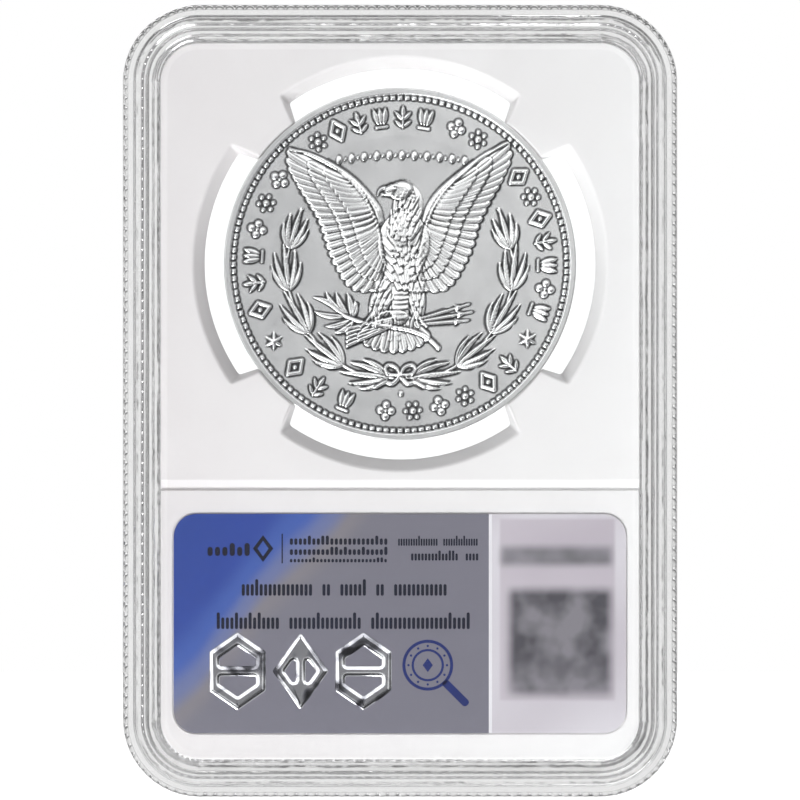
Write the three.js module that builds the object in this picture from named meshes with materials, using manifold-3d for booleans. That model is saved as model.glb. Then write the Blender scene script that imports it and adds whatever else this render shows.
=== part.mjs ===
// A sealed graded-coin holder: two clear welded shells around a white insert that grips a
// silver dollar, with a printed card on each face of the insert and stamped foil on the cards.
// Millimetres. +X to the right, +Z up, the back of the holder faces -Y and its front faces +Y.
// The holder stands on its label end, with the origin under the middle of that edge.

import * as THREE from 'three';
import { mergeVertices } from 'three/addons/utils/BufferGeometryUtils.js';
import Module from 'manifold-3d';

const wasm = await Module();
wasm.setup();

// ---- Driving dimensions -------------------------------------------------------------------

// Whole holder
const holderWidth = 60.0;
const holderHeight = 85.7;
const holderThickness = 8.0;
const cornerRadius = 8.4;

// Clear windows of both shells
const windowRecess = 1.0; // window face below the highest rim
const windowThickness = 1.1;

// Rim of the back shell, as distances in from the holder's outline
const backShoulderInset = 0.62;
const backShoulderDrop = 0.6; // shoulder below the rim's crest
const backCrestOuter = 1.5;
const backCrestInner = 2.15;
const backLedgeOuter = 2.35;
const backLedgeInner = 2.7;
const backLedgeDrop = 0.65; // ledge below the rim's crest
const backWindowInset = 2.9;

// Rim of the front shell, which nests inside the back rim of the next holder in a pile
const frontEdgeChamfer = 0.35;
const frontShoulderDrop = 0.7;
const frontCrestWidth = 0.6;
const rimSlope = 0.25; // run of a rim's sloping side
const pileClearance = 0.15; // between the nested rims of two piled holders

// Band of fine grip ribs round the edge of the back shell, solid here out to their crests
const gripBandHeight = 0.5; // out from the shell's own wall
const gripBandGap = 0.2; // from the band's end to the shoulder of the rim

// Welded joint between the shells
const partingHeight = -0.4; // Y of the joint's plane
const tongueInset = 1.6;
const tongueThickness = 0.8;
const tongueHeight = 1.4;
const tongueSideGap = 0.1;
const tongueEndGap = 0.2;

// Insert
const insertInset = 4.0; // insert's edge in from the holder's outline
const insertSideGap = 0.2; // insert's edge to the shells' wall
const insertFaceGap = 0.1; // insert's faces to the windows
const insertEdgeChamfer = 0.3;
const bayHeight = 29.5; // label bay, up from the insert's lower edge
const bayStepDepth = 0.6; // label bay below the coin deck
const bayStepRun = 0.8; // height of the sloping step

// Coin and the openings round it
const coinDiameter = 38.1;
const coinThickness = 2.4;
const coinRimWidth = 0.6;
const coinFieldDepth = 0.3; // field below the rim
const coinEdgeChamfer = 0.1;
const coinGap = 0.05; // coin's edge to the tips of the prongs
const coinDrop = 0.35; // coin's centre below the middle of the deck
const openingWidth = 2.0; // see-through part, out from the coin's edge
const openingDraft = 1.3; // extra width of an opening at the insert's faces
const prongCount = 4;
const prongHalfAngle = THREE.MathUtils.degToRad(8.7); // at the coin's edge
const prongFlare = THREE.MathUtils.degToRad(1.9); // wider each side at the opening's outer edge

// Cards
const labelWidth = 48.9;
const labelHeight = 23.7;
const labelThickness = 0.3;
const labelCornerRadius = 2.45;
const labelPocketDepth = 0.15;
const labelPocketGap = 0.15;
const labelRise = 2.95; // card's lower edge above the insert's lower edge

// Stamped foil on the cards
const foilThickness = 0.1;
const markWidth = 6.1;
const markHeight = 8.5;
const markStroke = 1.1;
const markSpacing = 6.8; // centre to centre
const markFromSide = 3.85; // first mark in from the card's side
const markRise = 2.45; // marks above the card's lower edge
const badgeWidth = 9.0;
const badgeHeight = 9.0;
const badgeFromSide = 3.0;

// Fineness of round shapes
const cornerSteps = 8; // flats in each corner of the holder
const labelCornerSteps = 4;
const roundSteps = 96; // flats round the coin and its pocket
const cutMargin = 1.0; // how far a cutter reaches past what it cuts
const weldTolerance = 1e-4;

// ---- Dimensions that follow ---------------------------------------------------------------

const crestY = holderThickness / 2;
const windowOuterY = crestY - windowRecess;
const windowInnerY = windowOuterY - windowThickness;
const wallInset = insertInset - insertSideGap;
const deckY = windowInnerY - insertFaceGap;
const bayY = deckY - bayStepDepth;
const pocketY = bayY - labelPocketDepth;
const labelFaceY = pocketY + labelThickness;
const bayTop = insertInset + bayHeight;
const deckBottom = bayTop + bayStepRun;
const deckTop = holderHeight - insertInset;
const coinCentreZ = (deckBottom + deckTop) / 2 - coinDrop;
const coinRadius = coinDiameter / 2;
const labelBottom = insertInset + labelRise;

// ---- Materials ----------------------------------------------------------------------------

const clearPlastic = { color: 0xe9eef0, roughness: 0.08, metalness: 0, transparent: true, opacity: 0.28 };
const whitePlastic = { color: 0xf1eeee, roughness: 0.45, metalness: 0 };
const silver = { color: 0xc8c8c8, roughness: 0.28, metalness: 1 };
const blueCard = { color: 0x6f79a3, roughness: 0.5, metalness: 0 };
const mirrorFoil = { color: 0xdcdce2, roughness: 0.08, metalness: 1 };

// ---- Helpers ------------------------------------------------------------------------------

/** Makes a solid that can be cut and joined from a closed geometry. */
function solidOf(geometry) {
  const bare = geometry.clone();
  bare.deleteAttribute('normal');
  bare.deleteAttribute('uv');
  const welded = mergeVertices(bare, weldTolerance);
  const index = welded.index.array;
  const triangles = [];
  for (let i = 0; i < index.length; i += 3) {
    const [a, b, c] = index.slice(i, i + 3);
    if (a !== b && b !== c && c !== a) triangles.push(a, b, c);
  }
  const mesh = new wasm.Mesh({
    numProp: 3,
    vertProperties: new Float32Array(welded.attributes.position.array),
    triVerts: new Uint32Array(triangles),
  });
  return new wasm.Manifold(mesh);
}

/** Makes a flat-shaded geometry from a solid. */
function geometryOf(solid) {
  const { vertProperties, triVerts } = solid.getMesh();
  const geometry = new THREE.BufferGeometry();
  geometry.setAttribute('position', new THREE.Float32BufferAttribute(vertProperties, 3));
  geometry.setIndex(new THREE.Uint32BufferAttribute(triVerts, 1));
  const flat = geometry.toNonIndexed();
  flat.computeVertexNormals();
  return flat;
}

/**
 * Sweeps a section round the holder's rounded outline. The section is a list of
 * [inset, y] points, and a point with no inset is on the middle of the holder. A turned
 * shape of the corner radius is made first, and its four quarters are moved to the corners.
 */
function sweptBlock(section) {
  const halfStep = Math.PI / (4 * cornerSteps);
  const points = section.map(([inset, y]) => {
    const radius = inset === null ? 0 : (cornerRadius - inset) / Math.cos(halfStep);
    return new THREE.Vector2(radius, y);
  });
  const geometry = new THREE.LatheGeometry(points, 4 * cornerSteps, halfStep);
  const position = geometry.attributes.position;
  for (let i = 0; i < position.count; i += 1) {
    const x = position.getX(i);
    const z = position.getZ(i);
    const onMiddle = Math.hypot(x, z) < weldTolerance;
    if (!onMiddle) {
      position.setX(i, x + Math.sign(x) * (holderWidth / 2 - cornerRadius));
      position.setZ(i, z + Math.sign(z) * (holderHeight / 2 - cornerRadius));
    }
  }
  return solidOf(geometry.translate(0, 0, holderHeight / 2));
}

/** Raises a flat outline, drawn in X and Z, into a plate between two Y values. */
function plate(shape, lowY, highY) {
  const options = { depth: highY - lowY, bevelEnabled: false, curveSegments: labelCornerSteps };
  const geometry = new THREE.ExtrudeGeometry(shape, options);
  return solidOf(geometry.rotateX(Math.PI / 2).translate(0, highY, 0));
}

/** Draws a rectangle with round corners, counter-clockwise, on the given outline. */
function roundedRectangle(outline, left, bottom, width, height, radius) {
  const right = left + width;
  const top = bottom + height;
  outline.moveTo(left + radius, bottom);
  outline.lineTo(right - radius, bottom);
  outline.absarc(right - radius, bottom + radius, radius, -Math.PI / 2, 0, false);
  outline.lineTo(right, top - radius);
  outline.absarc(right - radius, top - radius, radius, 0, Math.PI / 2, false);
  outline.lineTo(left + radius, top);
  outline.absarc(left + radius, top - radius, radius, Math.PI / 2, Math.PI, false);
  outline.lineTo(left, bottom + radius);
  outline.absarc(left + radius, bottom + radius, radius, Math.PI, Math.PI * 1.5, false);
  return outline;
}

/** Turns a section of [radius, y] points about the coin's own axis. */
function turnedAboutCoin(section) {
  const points = section.map(([radius, y]) => new THREE.Vector2(radius, y));
  return solidOf(new THREE.LatheGeometry(points, roundSteps).translate(0, 0, coinCentreZ));
}

/** Wraps a solid as a named part of the holder. */
function part(name, solid, finish) {
  const mesh = new THREE.Mesh(geometryOf(solid), new THREE.MeshStandardMaterial(finish));
  mesh.name = name;
  return mesh;
}

// ---- Shells -------------------------------------------------------------------------------

/** The front shell: smooth outer edge, stacking rim, window, and the groove of the joint. */
function frontShell() {
  const shoulderY = crestY - frontShoulderDrop;
  const crestOuter = backWindowInset + pileClearance;
  const crestInner = crestOuter + frontCrestWidth;
  const grooveOuter = tongueInset - tongueSideGap;
  const grooveInner = tongueInset + tongueThickness + tongueSideGap;
  const grooveY = partingHeight + tongueHeight + tongueEndGap;
  return sweptBlock([
    [null, windowInnerY],
    [wallInset, windowInnerY],
    [wallInset, partingHeight],
    [grooveInner, partingHeight],
    [grooveInner, grooveY],
    [grooveOuter, grooveY],
    [grooveOuter, partingHeight],
    [0, partingHeight],
    [0, shoulderY - frontEdgeChamfer],
    [frontEdgeChamfer, shoulderY],
    [crestOuter - rimSlope, shoulderY],
    [crestOuter, crestY],
    [crestInner, crestY],
    [crestInner + rimSlope, windowOuterY],
    [null, windowOuterY],
  ]);
}

/** The back shell: grip band, raised rim with an inner ledge, window, and joint's tongue. */
function backShell() {
  const tongueEnd = tongueInset + tongueThickness;
  const shoulderY = backShoulderDrop - crestY;
  return sweptBlock([
    [null, -windowOuterY],
    [backWindowInset, -windowOuterY],
    [backLedgeInner, backLedgeDrop - crestY],
    [backLedgeOuter, backLedgeDrop - crestY],
    [backCrestInner, -crestY],
    [backCrestOuter, -crestY],
    [backCrestOuter - rimSlope, shoulderY],
    [backShoulderInset, shoulderY],
    [backShoulderInset, shoulderY + gripBandGap],
    [backShoulderInset - gripBandHeight, shoulderY + gripBandGap],
    [backShoulderInset - gripBandHeight, partingHeight],
    [tongueInset, partingHeight],
    [tongueInset, partingHeight + tongueHeight],
    [tongueEnd, partingHeight + tongueHeight],
    [tongueEnd, partingHeight],
    [wallInset, partingHeight],
    [wallInset, -windowInnerY],
    [null, -windowInnerY],
  ]);
}

// ---- Insert -------------------------------------------------------------------------------

/** Cuts one face of the insert down to the label bay, with a sloping step below the coin. */
function bayCutter(side) {
  const reach = deckY + cutMargin;
  const slope = bayStepRun / bayStepDepth;
  const profile = new THREE.Shape([
    new THREE.Vector2(bayY, -cutMargin),
    new THREE.Vector2(reach, -cutMargin),
    new THREE.Vector2(reach, bayTop + (reach - bayY) * slope),
    new THREE.Vector2(bayY, bayTop),
  ]);
  const geometry = new THREE.ExtrudeGeometry(profile, { depth: holderWidth, bevelEnabled: false });
  geometry.applyMatrix4(new THREE.Matrix4().makeBasis(
    new THREE.Vector3(0, 1, 0), new THREE.Vector3(0, 0, 1), new THREE.Vector3(1, 0, 0)));
  geometry.translate(-holderWidth / 2, 0, 0);
  if (side < 0) geometry.rotateZ(Math.PI);
  return solidOf(geometry);
}

/** A card's outline, or its pocket's when grown by a gap. */
function labelOutline(grow) {
  return roundedRectangle(
    new THREE.Shape(), -labelWidth / 2 - grow, labelBottom - grow,
    labelWidth + 2 * grow, labelHeight + 2 * grow, labelCornerRadius + grow);
}

/** One of the see-through openings round the coin, between two prongs. */
function openingCutter(turn) {
  const reachY = deckY + cutMargin;
  const waist = coinRadius + openingWidth;
  const mouth = waist + openingDraft * (reachY / deckY);
  const inner = coinRadius - cutMargin;
  const ring = turnedAboutCoin([
    [inner, -reachY], [mouth, -reachY], [waist, 0], [mouth, reachY], [inner, reachY],
    [inner, -reachY],
  ]);
  const halfAngle = Math.PI / prongCount - prongHalfAngle;
  const nearEdge = new THREE.Vector2(Math.sin(halfAngle), Math.cos(halfAngle))
    .multiplyScalar(coinRadius);
  const farEdge = new THREE.Vector2(
    Math.sin(halfAngle - prongFlare), Math.cos(halfAngle - prongFlare)).multiplyScalar(waist);
  const along = farEdge.clone().sub(nearEdge);
  const start = nearEdge.clone().sub(along);
  const end = farEdge.clone().addScaledVector(along, 2);
  const wedge = new THREE.Shape([
    new THREE.Vector2(-start.x, start.y), start, end,
    new THREE.Vector2(end.x, 2 * mouth), new THREE.Vector2(-end.x, 2 * mouth),
    new THREE.Vector2(-end.x, end.y),
  ]);
  const options = { depth: 2 * reachY, bevelEnabled: false };
  const geometry = new THREE.ExtrudeGeometry(wedge, options);
  geometry.rotateX(Math.PI / 2).translate(0, reachY, 0).rotateY(turn);
  return ring.intersect(solidOf(geometry.translate(0, 0, coinCentreZ)));
}

/** The white insert: coin deck with a four-pronged pocket, and a label bay on each face. */
function insert() {
  let body = sweptBlock([
    [null, -deckY],
    [insertInset + insertEdgeChamfer, -deckY],
    [insertInset, insertEdgeChamfer - deckY],
    [insertInset, deckY - insertEdgeChamfer],
    [insertInset + insertEdgeChamfer, deckY],
    [null, deckY],
  ]);
  const reachY = deckY + cutMargin;
  const pocketRadius = coinRadius + coinGap;
  body = body.subtract(turnedAboutCoin([
    [0, -reachY], [pocketRadius, -reachY], [pocketRadius, reachY], [0, reachY],
  ]));
  for (let i = 0; i < prongCount; i += 1) {
    body = body.subtract(openingCutter((i * 2 * Math.PI) / prongCount));
  }
  const pocket = labelOutline(labelPocketGap);
  for (const side of [-1, 1]) {
    const [lowY, highY] = [side * pocketY, side * reachY].sort((a, b) => a - b);
    body = body.subtract(bayCutter(side)).subtract(plate(pocket, lowY, highY));
  }
  return body;
}

/** The silver dollar as a blank with raised rims. */
function coin() {
  const rimY = coinThickness / 2;
  const fieldY = rimY - coinFieldDepth;
  const rimInner = coinRadius - coinRimWidth;
  return turnedAboutCoin([
    [0, -fieldY],
    [rimInner - coinFieldDepth, -fieldY],
    [rimInner, -rimY],
    [coinRadius - coinEdgeChamfer, -rimY],
    [coinRadius, coinEdgeChamfer - rimY],
    [coinRadius, rimY - coinEdgeChamfer],
    [coinRadius - coinEdgeChamfer, rimY],
    [rimInner, rimY],
    [rimInner - coinFieldDepth, fieldY],
    [0, fieldY],
  ]);
}

// ---- Cards and foil -----------------------------------------------------------------------

/** A printed card in its pocket, on the back (side -1) or the front (side +1). */
function label(side) {
  const [lowY, highY] = [side * pocketY, side * labelFaceY].sort((a, b) => a - b);
  return plate(labelOutline(0), lowY, highY);
}

/** A frame of even stroke with an upright or level bar across it, as one flat outline. */
function barredFrame(corners, centreX, centreZ, stroke, barUpright) {
  const inner = corners.map((corner) => corner.clone());
  const longest = Math.max(...corners.map((corner) => corner.length()));
  const shrink = 1 - (stroke * 2) / longest;
  inner.forEach((corner) => corner.multiplyScalar(shrink));
  const frame = new THREE.Shape(corners);
  frame.holes.push(new THREE.Path(inner));
  const reachX = barUpright ? stroke / 2 : Math.max(...inner.map((corner) => corner.x)) + stroke / 2;
  const reachZ = barUpright ? Math.max(...inner.map((corner) => corner.y)) + stroke / 2 : stroke / 2;
  const bar = new THREE.Shape([
    new THREE.Vector2(-reachX, -reachZ), new THREE.Vector2(reachX, -reachZ),
    new THREE.Vector2(reachX, reachZ), new THREE.Vector2(-reachX, reachZ),
  ]);
  const [lowY, highY] = [0, foilThickness];
  return plate(frame, lowY, highY).add(plate(bar, lowY, highY)).translate([centreX, 0, centreZ]);
}

/** The corners of an upright six-sided frame. */
function hexagonCorners(width, height) {
  return [
    [0, -height / 2], [width / 2, -height / 4], [width / 2, height / 4],
    [0, height / 2], [-width / 2, height / 4], [-width / 2, -height / 4],
  ].map(([x, z]) => new THREE.Vector2(x, z));
}

/** The corners of an upright lozenge. */
function lozengeCorners(width, height) {
  return [[0, -height / 2], [width / 2, 0], [0, height / 2], [-width / 2, 0]]
    .map(([x, z]) => new THREE.Vector2(x, z));
}

/** The three foil marks on the back card, from left to right. */
function backFoilMarks() {
  const marks = [
    ['back_foil_left', hexagonCorners(markWidth, markHeight), false],
    ['back_foil_middle', lozengeCorners(markWidth, markHeight), true],
    ['back_foil_right', hexagonCorners(markWidth, markHeight), false],
  ];
  const firstX = -labelWidth / 2 + markFromSide + markWidth / 2;
  const centreZ = labelBottom + markRise + markHeight / 2;
  return marks.map(([name, corners, upright], place) => {
    const mark = barredFrame(corners, firstX + place * markSpacing, centreZ, markStroke, upright);
    return part(name, mark.translate([0, -labelFaceY - foilThickness, 0]), mirrorFoil);
  });
}

/** The foil badge on the front card. */
function frontFoilBadge() {
  const centreX = labelWidth / 2 - badgeFromSide - badgeWidth / 2;
  const centreZ = labelBottom + labelHeight / 2;
  const badge = barredFrame(
    hexagonCorners(badgeWidth, badgeHeight), centreX, centreZ, markStroke, false);
  return part('front_foil_badge', badge.translate([0, labelFaceY, 0]), mirrorFoil);
}

// ---- Assembly -----------------------------------------------------------------------------

const group = new THREE.Group();
group.add(
  part('front_shell', frontShell(), clearPlastic),
  part('back_shell', backShell(), clearPlastic),
  part('coin_insert', insert(), whitePlastic),
  part('coin', coin(), silver),
  part('front_label', label(1), blueCard),
  part('back_label', label(-1), blueCard),
  ...backFoilMarks(),
  frontFoilBadge(),
);

export default group;
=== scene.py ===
"""A sealed graded-coin holder: clear shells, pronged insert, struck silver coin and two cards.

Every length in the classes is in millimetres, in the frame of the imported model: +X to the right,
+Z up, the back of the holder towards -Y. Meshes are made in metres.
"""

import logging
import math
from collections.abc import Callable, Sequence
from dataclasses import dataclass, field
from enum import Enum
from functools import cache

import bmesh
import bpy
import numpy as np
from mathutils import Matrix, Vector
from mathutils.geometry import tessellate_polygon


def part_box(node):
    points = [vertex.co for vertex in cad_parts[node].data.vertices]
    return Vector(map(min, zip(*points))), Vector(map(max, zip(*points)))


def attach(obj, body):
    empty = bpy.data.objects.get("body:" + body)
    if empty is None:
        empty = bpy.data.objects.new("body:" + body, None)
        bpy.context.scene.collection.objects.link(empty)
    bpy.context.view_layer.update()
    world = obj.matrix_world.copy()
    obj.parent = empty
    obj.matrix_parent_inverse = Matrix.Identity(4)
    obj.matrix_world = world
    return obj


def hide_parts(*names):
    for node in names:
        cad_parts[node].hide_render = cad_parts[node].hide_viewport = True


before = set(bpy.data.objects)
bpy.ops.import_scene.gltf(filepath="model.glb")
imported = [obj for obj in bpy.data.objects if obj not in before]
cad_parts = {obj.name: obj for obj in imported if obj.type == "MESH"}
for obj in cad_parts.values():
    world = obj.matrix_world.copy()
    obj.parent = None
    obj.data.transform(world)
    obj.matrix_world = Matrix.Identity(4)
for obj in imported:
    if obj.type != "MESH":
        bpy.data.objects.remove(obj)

MM = 0.001
WELD = 2e-7
SMALLEST_EDGE = 1e-8
BODY = "root"
LOG = logging.getLogger("coin_holder")

Array = np.ndarray
Node = bpy.types.Node
Socket = bpy.types.NodeSocket
Pair = tuple[float, float]
Triple = tuple[float, float, float]
Finish = bpy.types.Material
Piece = bpy.types.Object


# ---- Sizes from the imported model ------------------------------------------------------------


@dataclass(frozen=True)
class Block:
    """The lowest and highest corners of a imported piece, in millimetres."""

    low: Triple
    high: Triple

    @classmethod
    def of(cls, node: str) -> "Block":
        """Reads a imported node's box."""
        low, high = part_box(node)
        return cls(tuple(c / MM for c in low), tuple(c / MM for c in high))

    @property
    def size(self) -> Triple:
        """The box's lengths along X, Y and Z."""
        return tuple(b - a for a, b in zip(self.low, self.high))

    @property
    def centre(self) -> Triple:
        """The middle of the box."""
        return tuple((a + b) / 2 for a, b in zip(self.low, self.high))


# ---- Flat outlines --------------------------------------------------------------------------


def fillet_corners(points: Array, radii: float | Sequence[float], steps: int = 4,
                   closed: bool = False) -> Array:
    """Rounds the corners of a flat outline.

    Args:
        points: Corners, one row each.
        radii: One radius for all corners, or one for each corner.
        steps: Flats in each rounded corner.
        closed: Whether the last corner joins the first.

    Returns:
        The rounded outline, with the same number of points in each rounded corner.
    """
    count = len(points)
    sizes = np.full(count, radii) if np.isscalar(radii) else np.asarray(radii, float)
    rounded: list[Array] = []
    for i, corner in enumerate(points):
        at_end = not closed and i in (0, count - 1)
        if at_end or sizes[i] <= 0:
            rounded.append(corner)
            continue
        back = points[i - 1] - corner
        ahead = points[(i + 1) % count] - corner
        back_length, ahead_length = np.linalg.norm(back), np.linalg.norm(ahead)
        back, ahead = back / back_length, ahead / ahead_length
        opening = math.acos(float(np.clip(back @ ahead, -1.0, 1.0)))
        trim = min(sizes[i] / math.tan(opening / 2), 0.45 * back_length, 0.45 * ahead_length)
        radius = trim * math.tan(opening / 2)
        middle = (back + ahead) / np.linalg.norm(back + ahead)
        centre = corner + middle * radius / math.sin(opening / 2)
        first, last = corner + back * trim - centre, corner + ahead * trim - centre
        sweep = math.pi - opening
        for k in range(steps + 1):
            part = k / steps
            weight_first = math.sin((1 - part) * sweep) / math.sin(sweep)
            weight_last = math.sin(part * sweep) / math.sin(sweep)
            rounded.append(centre + first * weight_first + last * weight_last)
    return np.array(rounded)


def circle(radius: float, count: int, centre: Pair = (0.0, 0.0)) -> Array:
    """Points round a circle, counter-clockwise."""
    angle = np.arange(count) * 2 * np.pi / count
    return np.column_stack([radius * np.cos(angle), radius * np.sin(angle)]) + np.asarray(centre)


def rectangle(left: float, bottom: float, width: float, height: float,
              radius: float = 0.0, steps: int = 8) -> Array:
    """A rectangle, counter-clockwise, with rounded corners if it has a radius."""
    corners = np.array([[left, bottom], [left + width, bottom],
                        [left + width, bottom + height], [left, bottom + height]])
    return fillet_corners(corners, radius, steps, closed=True) if radius > 0 else corners


def clip(outline: Array, axis: int, limit: float, keep_above: bool) -> Array:
    """Keeps the part of a flat outline on one side of a line across an axis.

    Args:
        outline: Corners, one row each.
        axis: 0 to cut across X, 1 to cut across Z.
        limit: Where the line crosses that axis.
        keep_above: Whether the part above the line stays.

    Returns:
        The corners of what stays.
    """
    sign = 1.0 if keep_above else -1.0
    kept: list[Array] = []
    for here, ahead in zip(outline, np.roll(outline, -1, axis=0)):
        depth, depth_ahead = sign * (here[axis] - limit), sign * (ahead[axis] - limit)
        if depth >= 0:
            kept.append(here)
        if depth * depth_ahead < 0:
            kept.append(here + (ahead - here) * depth / (depth - depth_ahead))
    return np.array(kept)


def stand(points: Array, y: float) -> Array:
    """Stands a flat outline of X and Z up at one Y."""
    return np.column_stack([points[:, 0], np.full(len(points), y), points[:, 1]])


def outline_normals(loop: Array) -> Array:
    """The outward normals of a closed counter-clockwise outline, at its points."""
    along = np.roll(loop, -1, axis=0) - np.roll(loop, 1, axis=0)
    along /= np.linalg.norm(along, axis=1)[:, None]
    return np.column_stack([along[:, 1], -along[:, 0]])


@dataclass(frozen=True)
class RoundedEdge:
    """The holder's outline: a rectangle with round corners, met by rings of stations."""

    width: float
    height: float
    radius: float
    middle_z: float

    def stations(self, distances: Array) -> tuple[Array, Array]:
        """Finds places along the outline.

        Args:
            distances: How far along each place is, as a share of the way round.

        Returns:
            The place's centre of rounding and its outward direction, one row each.
        """
        half_x, half_z = self.width / 2 - self.radius, self.height / 2 - self.radius
        quarter = self.radius * np.pi / 2
        legs = [2 * half_z, quarter, 2 * half_x, quarter, 2 * half_z, quarter, 2 * half_x, quarter]
        ends = np.cumsum([0.0, *legs])
        corners = [(half_x, -half_z), (half_x, half_z), (half_x, half_z), (-half_x, half_z),
                   (-half_x, half_z), (-half_x, -half_z), (-half_x, -half_z), (half_x, -half_z)]
        travelled = (np.asarray(distances) % 1.0) * ends[-1]
        base = np.zeros((len(travelled), 2))
        heading = np.zeros(len(travelled))
        for leg, (start, length) in enumerate(zip(ends[:-1], legs)):
            here = (travelled >= start) & (travelled <= start + length)
            share = (travelled[here] - start) / length
            if leg % 2 == 0:
                begin, end = np.array(corners[leg]), np.array(corners[leg + 1])
                base[here] = begin + (end - begin) * share[:, None]
                heading[here] = leg / 2 * np.pi / 2
            else:
                base[here] = corners[leg]
                heading[here] = ((leg - 1) / 2 + share) * np.pi / 2
        base[:, 1] += self.middle_z
        return base, np.column_stack([np.cos(heading), np.sin(heading)])

    def shares(self, corner_steps: int) -> Array:
        """Shares of the way round that give each corner even steps and each side its two ends."""
        half_x, half_z = self.width / 2 - self.radius, self.height / 2 - self.radius
        quarter = self.radius * np.pi / 2
        total = 4 * (half_x + half_z + quarter)
        steps = np.arange(corner_steps + 1) / corner_steps * quarter
        starts = np.cumsum([2 * half_z, quarter + 2 * half_x, quarter + 2 * half_z,
                            quarter + 2 * half_x])
        nudge = 1e-9
        return np.concatenate([start + steps for start in starts]) / (total * (1 + nudge))


# ---- Meshes ---------------------------------------------------------------------------------


class Surface:
    """Patches of a closed surface, gathered and welded into one mesh."""

    def __init__(self) -> None:
        """Starts with no patches."""
        self.vertices: list[Array] = []
        self.faces: list[tuple[int, ...]] = []
        self.count = 0

    def _add(self, vertices: Array) -> int:
        """Stores vertices and gives the index of the first."""
        first = self.count
        self.vertices.append(vertices)
        self.count += len(vertices)
        return first

    def grid(self, points: Array, wrap: bool) -> None:
        """Adds a patch of quads.

        Args:
            points: Rows of rows of X, Y and Z.
            wrap: Whether the last row joins the first.
        """
        rows, columns = points.shape[:2]
        first = self._add(points.reshape(-1, 3))
        row = np.arange(rows if wrap else rows - 1)[:, None]
        column = np.arange(columns - 1)[None, :]
        ahead = (row + 1) % rows
        corners = [row * columns + column, ahead * columns + column,
                   ahead * columns + column + 1, row * columns + column + 1]
        quads = np.stack([np.broadcast_to(c, (len(row), columns - 1)) for c in corners], axis=-1)
        self.faces.extend(map(tuple, (quads.reshape(-1, 4) + first).tolist()))

    def face(self, points: Array) -> None:
        """Adds one flat face with these corners."""
        first = self._add(points)
        self.faces.append(tuple(range(first, first + len(points))))

    def pierced(self, outline: Array, holes: Sequence[Array], y: float) -> None:
        """Adds a flat face with holes, drawn in X and Z, at one Y."""
        loops = [outline, *holes]
        flat = [[Vector((x, z, 0.0)) for x, z in loop] for loop in loops]
        first = self._add(stand(np.concatenate(loops), y))
        self.faces.extend(tuple(first + i for i in tri) for tri in tessellate_polygon(flat))

    def finish(self, name: str, sharp_degrees: float = 50.0, weld: bool = True,
               even: bool = True) -> Piece:
        """Makes the object.

        Args:
            name: The piece's name.
            sharp_degrees: Edges that turn by more than this stay sharp.
            weld: Whether touching patches are joined and turned to face outwards.
            even: Whether big flat faces keep their true shading.

        Returns:
            The new object, in metres.
        """
        mesh = bpy.data.meshes.new(name)
        mesh.from_pydata((np.concatenate(self.vertices) * MM).tolist(), [], self.faces)
        if weld:
            turn_outwards(mesh, WELD)
        mesh.shade_smooth()
        mesh.set_sharp_from_angle(angle=math.radians(sharp_degrees))
        piece = bpy.data.objects.new(name, mesh)
        bpy.context.scene.collection.objects.link(piece)
        if even:
            weigh = piece.modifiers.new("even_shading", "WEIGHTED_NORMAL")
            weigh.mode = "FACE_AREA"
            weigh.weight = 100
            weigh.keep_sharp = True
        return piece


def flat_plate(name: str, shapes: Sequence[Sequence[Array]],
               profile: Sequence[Pair]) -> Piece:
    """Raises flat shapes into a thin plate.

    Args:
        name: The piece's name.
        shapes: Each shape is its outline followed by its holes, drawn in X and Z.
        profile: Its edge as pairs of how far in and at which Y, from one face to the other.

    Returns:
        The new object, in metres.
    """
    surface = Surface()
    for loops in shapes:
        first: list[Array] = []
        last: list[Array] = []
        for place, loop in enumerate(loops):
            turned = np.roll(loop, -1, axis=0)
            area = np.sum(loop[:, 0] * turned[:, 1] - turned[:, 0] * loop[:, 1])
            normals = outline_normals(loop) * np.sign(area) * (1.0 if place == 0 else -1.0)
            rings = [loop - normals * sink for sink, _ in profile]
            surface.grid(np.stack([stand(ring, y) for ring, (_, y) in zip(rings, profile)],
                                  axis=1), wrap=True)
            first.append(rings[0])
            last.append(rings[-1])
        surface.pierced(first[0], first[1:], profile[0][1])
        surface.pierced(last[0], last[1:], profile[-1][1])
    return surface.finish(name)


def turn_outwards(mesh: bpy.types.Mesh, weld: float = 0.0) -> None:
    """Turns a mesh's faces outwards, after joining vertices closer than the weld distance."""
    work = bmesh.new()
    work.from_mesh(mesh)
    if weld:
        bmesh.ops.remove_doubles(work, verts=work.verts, dist=weld)
        bmesh.ops.dissolve_degenerate(work, edges=work.edges, dist=SMALLEST_EDGE)
    bmesh.ops.recalc_face_normals(work, faces=work.faces)
    work.to_mesh(mesh)
    work.free()


def seat(piece: Piece, finish: Finish, slot: str, *nodes: str) -> Piece:
    """Dresses a piece, rides it on the holder, and hides and logs the nodes it stands for."""
    piece.data.materials.append(finish)
    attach(piece, BODY)
    if nodes:
        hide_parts(*nodes)
    LOG.info("%s: %d faces, stands for %s", piece.name, len(piece.data.polygons),
             ", ".join(nodes) or "detail only")
    return piece


# ---- Shader tools ---------------------------------------------------------------------------


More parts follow.
